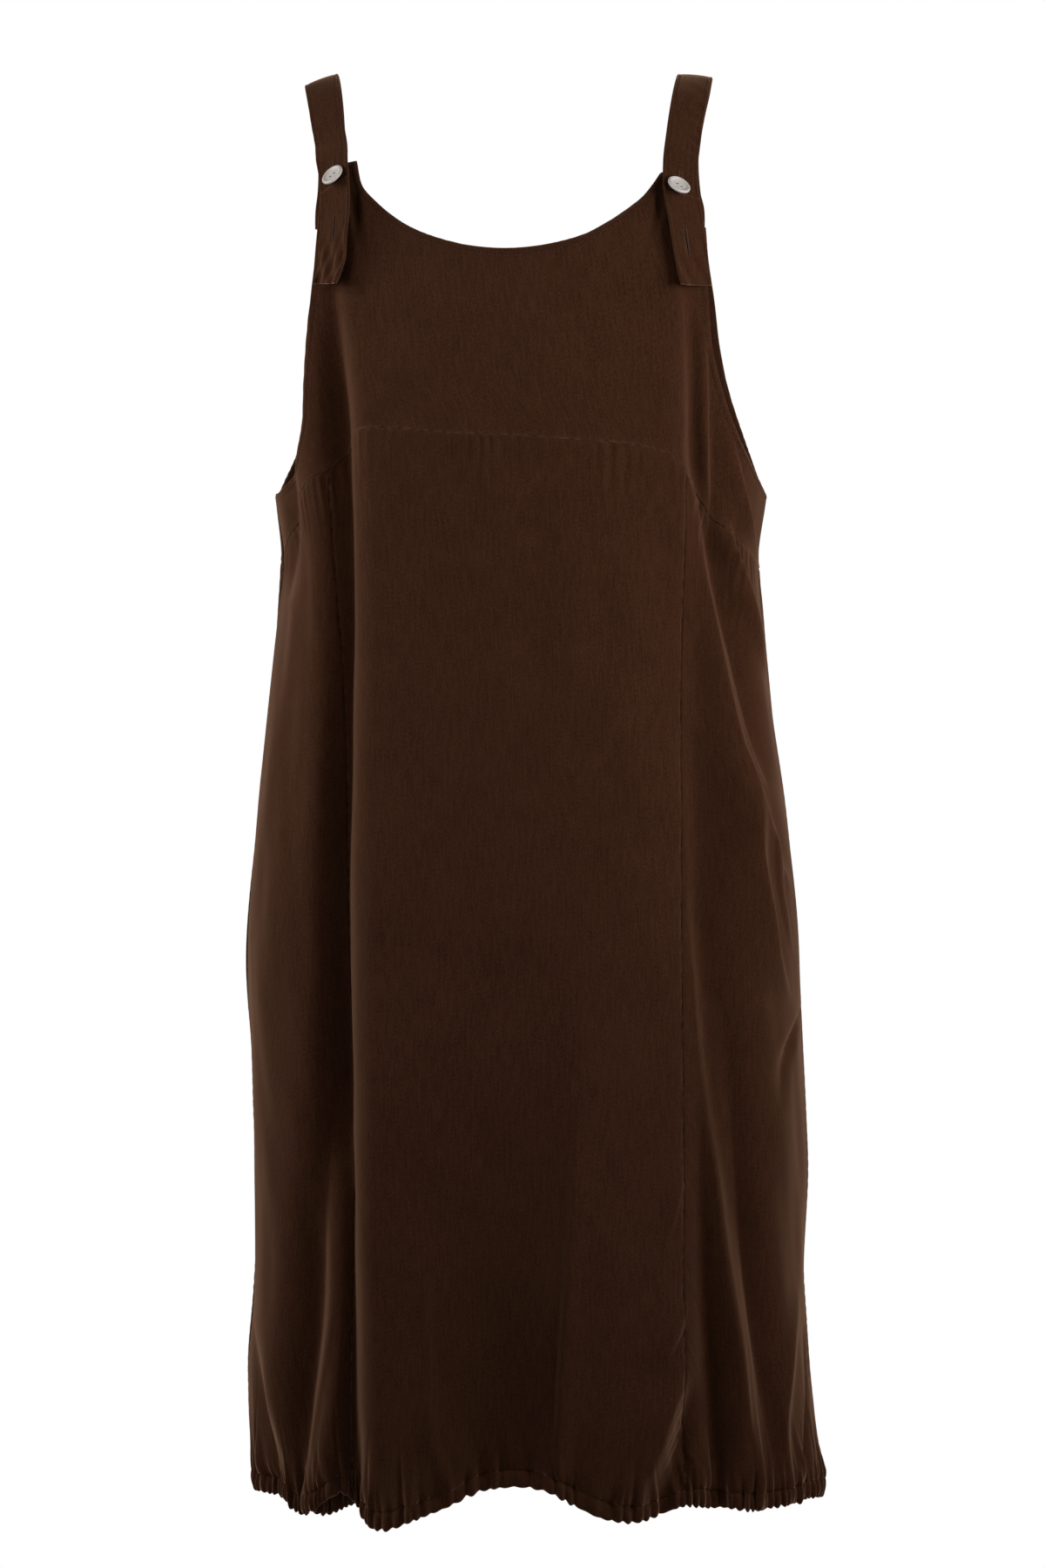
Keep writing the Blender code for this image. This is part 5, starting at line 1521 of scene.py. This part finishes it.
def add_button(side):
    """A turned button: BUTTON_OUTLINE carried round its middle, two holes sunk in its face."""
    outline = along(np.array(BUTTON_OUTLINE) * (BUTTON_DIAMETER / 2, BUTTON_THICKNESS),
                    BUTTON_RINGS)
    angle = np.arange(BUTTON_SIDES) * FULL_TURN / BUTTON_SIDES
    x, y = outline[:, :1] * np.cos(angle), outline[:, :1] * np.sin(angle)
    z = outline[:, 1:] + 0 * x
    face = ramp(outline[:, 1:], 0.45 * BUTTON_THICKNESS, 0.60 * BUTTON_THICKNESS)
    for end in (-1, 1):
        far = np.hypot(x - end * BUTTON_HOLE_SPACING / 2, y) / BUTTON_HOLE_DIAMETER
        z = z - face * BUTTON_HOLE_DEPTH * (1 - ramp(far, 0.42, 0.58))
    points = np.concatenate([np.stack([x, y, z], -1).reshape(-1, 3),
                             [[0, 0, outline[0, 1]], [0, 0, 0]]])
    numbers = numbered(BUTTON_RINGS, BUTTON_SIDES, around=True)
    centre = BUTTON_RINGS * BUTTON_SIDES
    fans = np.concatenate([fan(0, BUTTON_SIDES, centre),
                           fan(numbers[-1, 0], BUTTON_SIDES, centre + 1)[:, [1, 0, 2]]])
    place = button_place(side)
    piece = new_piece(f"button_{side}_turned", placed(points, place),
                      [quads(numbers)[:, ::-1], fans], BUTTON, smooth_angle=60)
    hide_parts(f"button_{side}")
    return piece, place


def hole_thread_and_shade(place):
    """The sewing thread that shows on a button: a dark plug sunk in each hole, which is that
    thread and also stands for the shade down in the hole.
    """
    spots = [(end * BUTTON_HOLE_SPACING / 2, 0, 0.42 * BUTTON_THICKNESS) for end in (-1, 1)]
    turned = np.array(place.to_3x3())
    ways, normals = ([way] * 2 @ turned.T for way in ((1, 0, 0), (0, 0, 1)))
    return placed(np.array(spots, float), place), ways, normals


# --- the finished dress -----------------------------------------------------------------------

pieces = {}
sizes = {}
for panel in PANELS:
    pieces[panel], sizes[panel] = add_skirt_panel(panel)
pieces["bodice_front"], sizes["bodice_front"], front_runs = add_bodice(
    "front", ARMHOLE_FRONT, NECK_FRONT, 210, 150, ("side_left", "side_right"))
pieces["bodice_back"], sizes["bodice_back"], back_runs = add_bodice(
    "back", ARMHOLE_BACK, NECK_BACK, 170, 130, ("side_right", "side_left"))
pieces["casing"], casing_length = add_casing()

strap_lengths, strap_runs, hole_runs = {}, [], []
for side in ("left", "right"):
    pieces[f"strap_{side}"], strap_lengths[side], runs = add_strap(side)
    strap_runs += runs
    hole_runs += buttonhole_runs(side)
    pieces[f"button_{side}"], place = add_button(side)
    # Dark thread plugs in the button holes, which also stand for the holes' shade.
    pieces[f"button_hole_thread_and_shade_{side}"] = add_stitches(
        f"button_hole_thread_and_shade_{side}", [hole_thread_and_shade(place)], DARK_THREAD, length=0.0019, width=0.0018,
        height=0.0009)
pieces["bodice_stitches"] = add_stitches("bodice_stitches", front_runs + back_runs, THREAD)
pieces["strap_stitches"] = add_stitches("strap_stitches", strap_runs, DARK_THREAD)
pieces["buttonhole_stitches"] = add_stitches("buttonhole_stitches", hole_runs, THREAD,
                                             length=0.0017, width=0.0006, height=0.0007)

for name, piece in pieces.items():
    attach(piece, "root")

# --- stage, light and camera ------------------------------------------------------------------

FLOOR_HEIGHT = -1.70
FLOOR_RADIUS = 2.6
FLOOR_SIDES = 96
VIEW_HEIGHT = 1.224
VIEW_MIDDLE = (0.0102, 0.0, -0.5522)
VIEW_DISTANCE = 20.0
SENSOR_HEIGHT = 36.0
SEEN_WHITE, LIT_WHITE = 1.0, 0.03  # the surroundings to the camera and to the cloth
# Each soft light: its place, the point it aims at, its width and height, its watts.
LIGHTS = {
    "high_front": ((0.0, -1.7, 0.50), (0, 0, -0.35), (0.6, 0.6), 1.7),
    "left_front": ((-0.75, -0.75, -0.20), (0, 0, -0.35), (0.4, 0.5), 2.8),
    "right_front": ((0.92, -0.68, -0.10), (0, 0, -0.35), (0.4, 0.5), 8.6),
    "left_side": ((-1.45, -0.20, 0.20), (-0.1, 0, -0.38), (0.4, 0.8), 13.5),
    "right_side": ((1.40, -0.35, 0.40), (0.1, 0, -0.38), (0.4, 0.8), 5.5),
    "back_left": ((-0.75, 2.1, 0.5), (0, 0, -0.5), (0.8, 0.8), 12),
    "back_right": ((0.5, 2.2, 0.3), (0, 0, -0.5), (0.8, 0.8), 17),
}

angle = np.arange(FLOOR_SIDES) * FULL_TURN / FLOOR_SIDES
rim = np.stack([np.cos(angle), np.sin(angle), 0 * angle], 1) * FLOOR_RADIUS
new_piece(
    "floor", rim + (0, 0, FLOOR_HEIGHT), [np.arange(FLOOR_SIDES)[None]],
    finish("pale_floor", lambda build: {"Base Color": FLOOR_COLOUR, "Roughness": 0.9}))

world = bpy.data.worlds.new("studio")
world.use_nodes = True
build = Nodes(world.node_tree)
strength = build.add("MapRange", {"Value": build.add("LightPath").outputs["Is Camera Ray"],
                                  "To Min": LIT_WHITE, "To Max": SEEN_WHITE})
ground = world.node_tree.nodes["Background"]
build.fill(ground.inputs["Strength"], strength.outputs[0])
build.fill(ground.inputs["Color"], (1, 1, 1, 1))
bpy.context.scene.world = world

for name, (place, aim, size, power) in LIGHTS.items():
    data = bpy.data.lights.new(name, "AREA")
    data.shape = "RECTANGLE"
    data.size, data.size_y = size
    data.energy = power
    light = bpy.data.objects.new(name, data)
    light.location = place
    light.rotation_euler = (Vector(aim) - Vector(place)).to_track_quat("-Z", "Y").to_euler()
    bpy.context.scene.collection.objects.link(light)

camera_data = bpy.data.cameras.new("front_view")
camera_data.sensor_fit = "VERTICAL"
camera_data.sensor_height = SENSOR_HEIGHT
camera_data.lens = SENSOR_HEIGHT * VIEW_DISTANCE / VIEW_HEIGHT
camera_data.clip_end = 60
camera = bpy.data.objects.new("front_view", camera_data)
camera.location = (VIEW_MIDDLE[0], -VIEW_DISTANCE, VIEW_MIDDLE[2])
camera.rotation_euler = (math.pi / 2, 0, 0)
bpy.context.scene.collection.objects.link(camera)
bpy.context.scene.camera = camera
bpy.context.scene.view_settings.view_transform = "Standard"
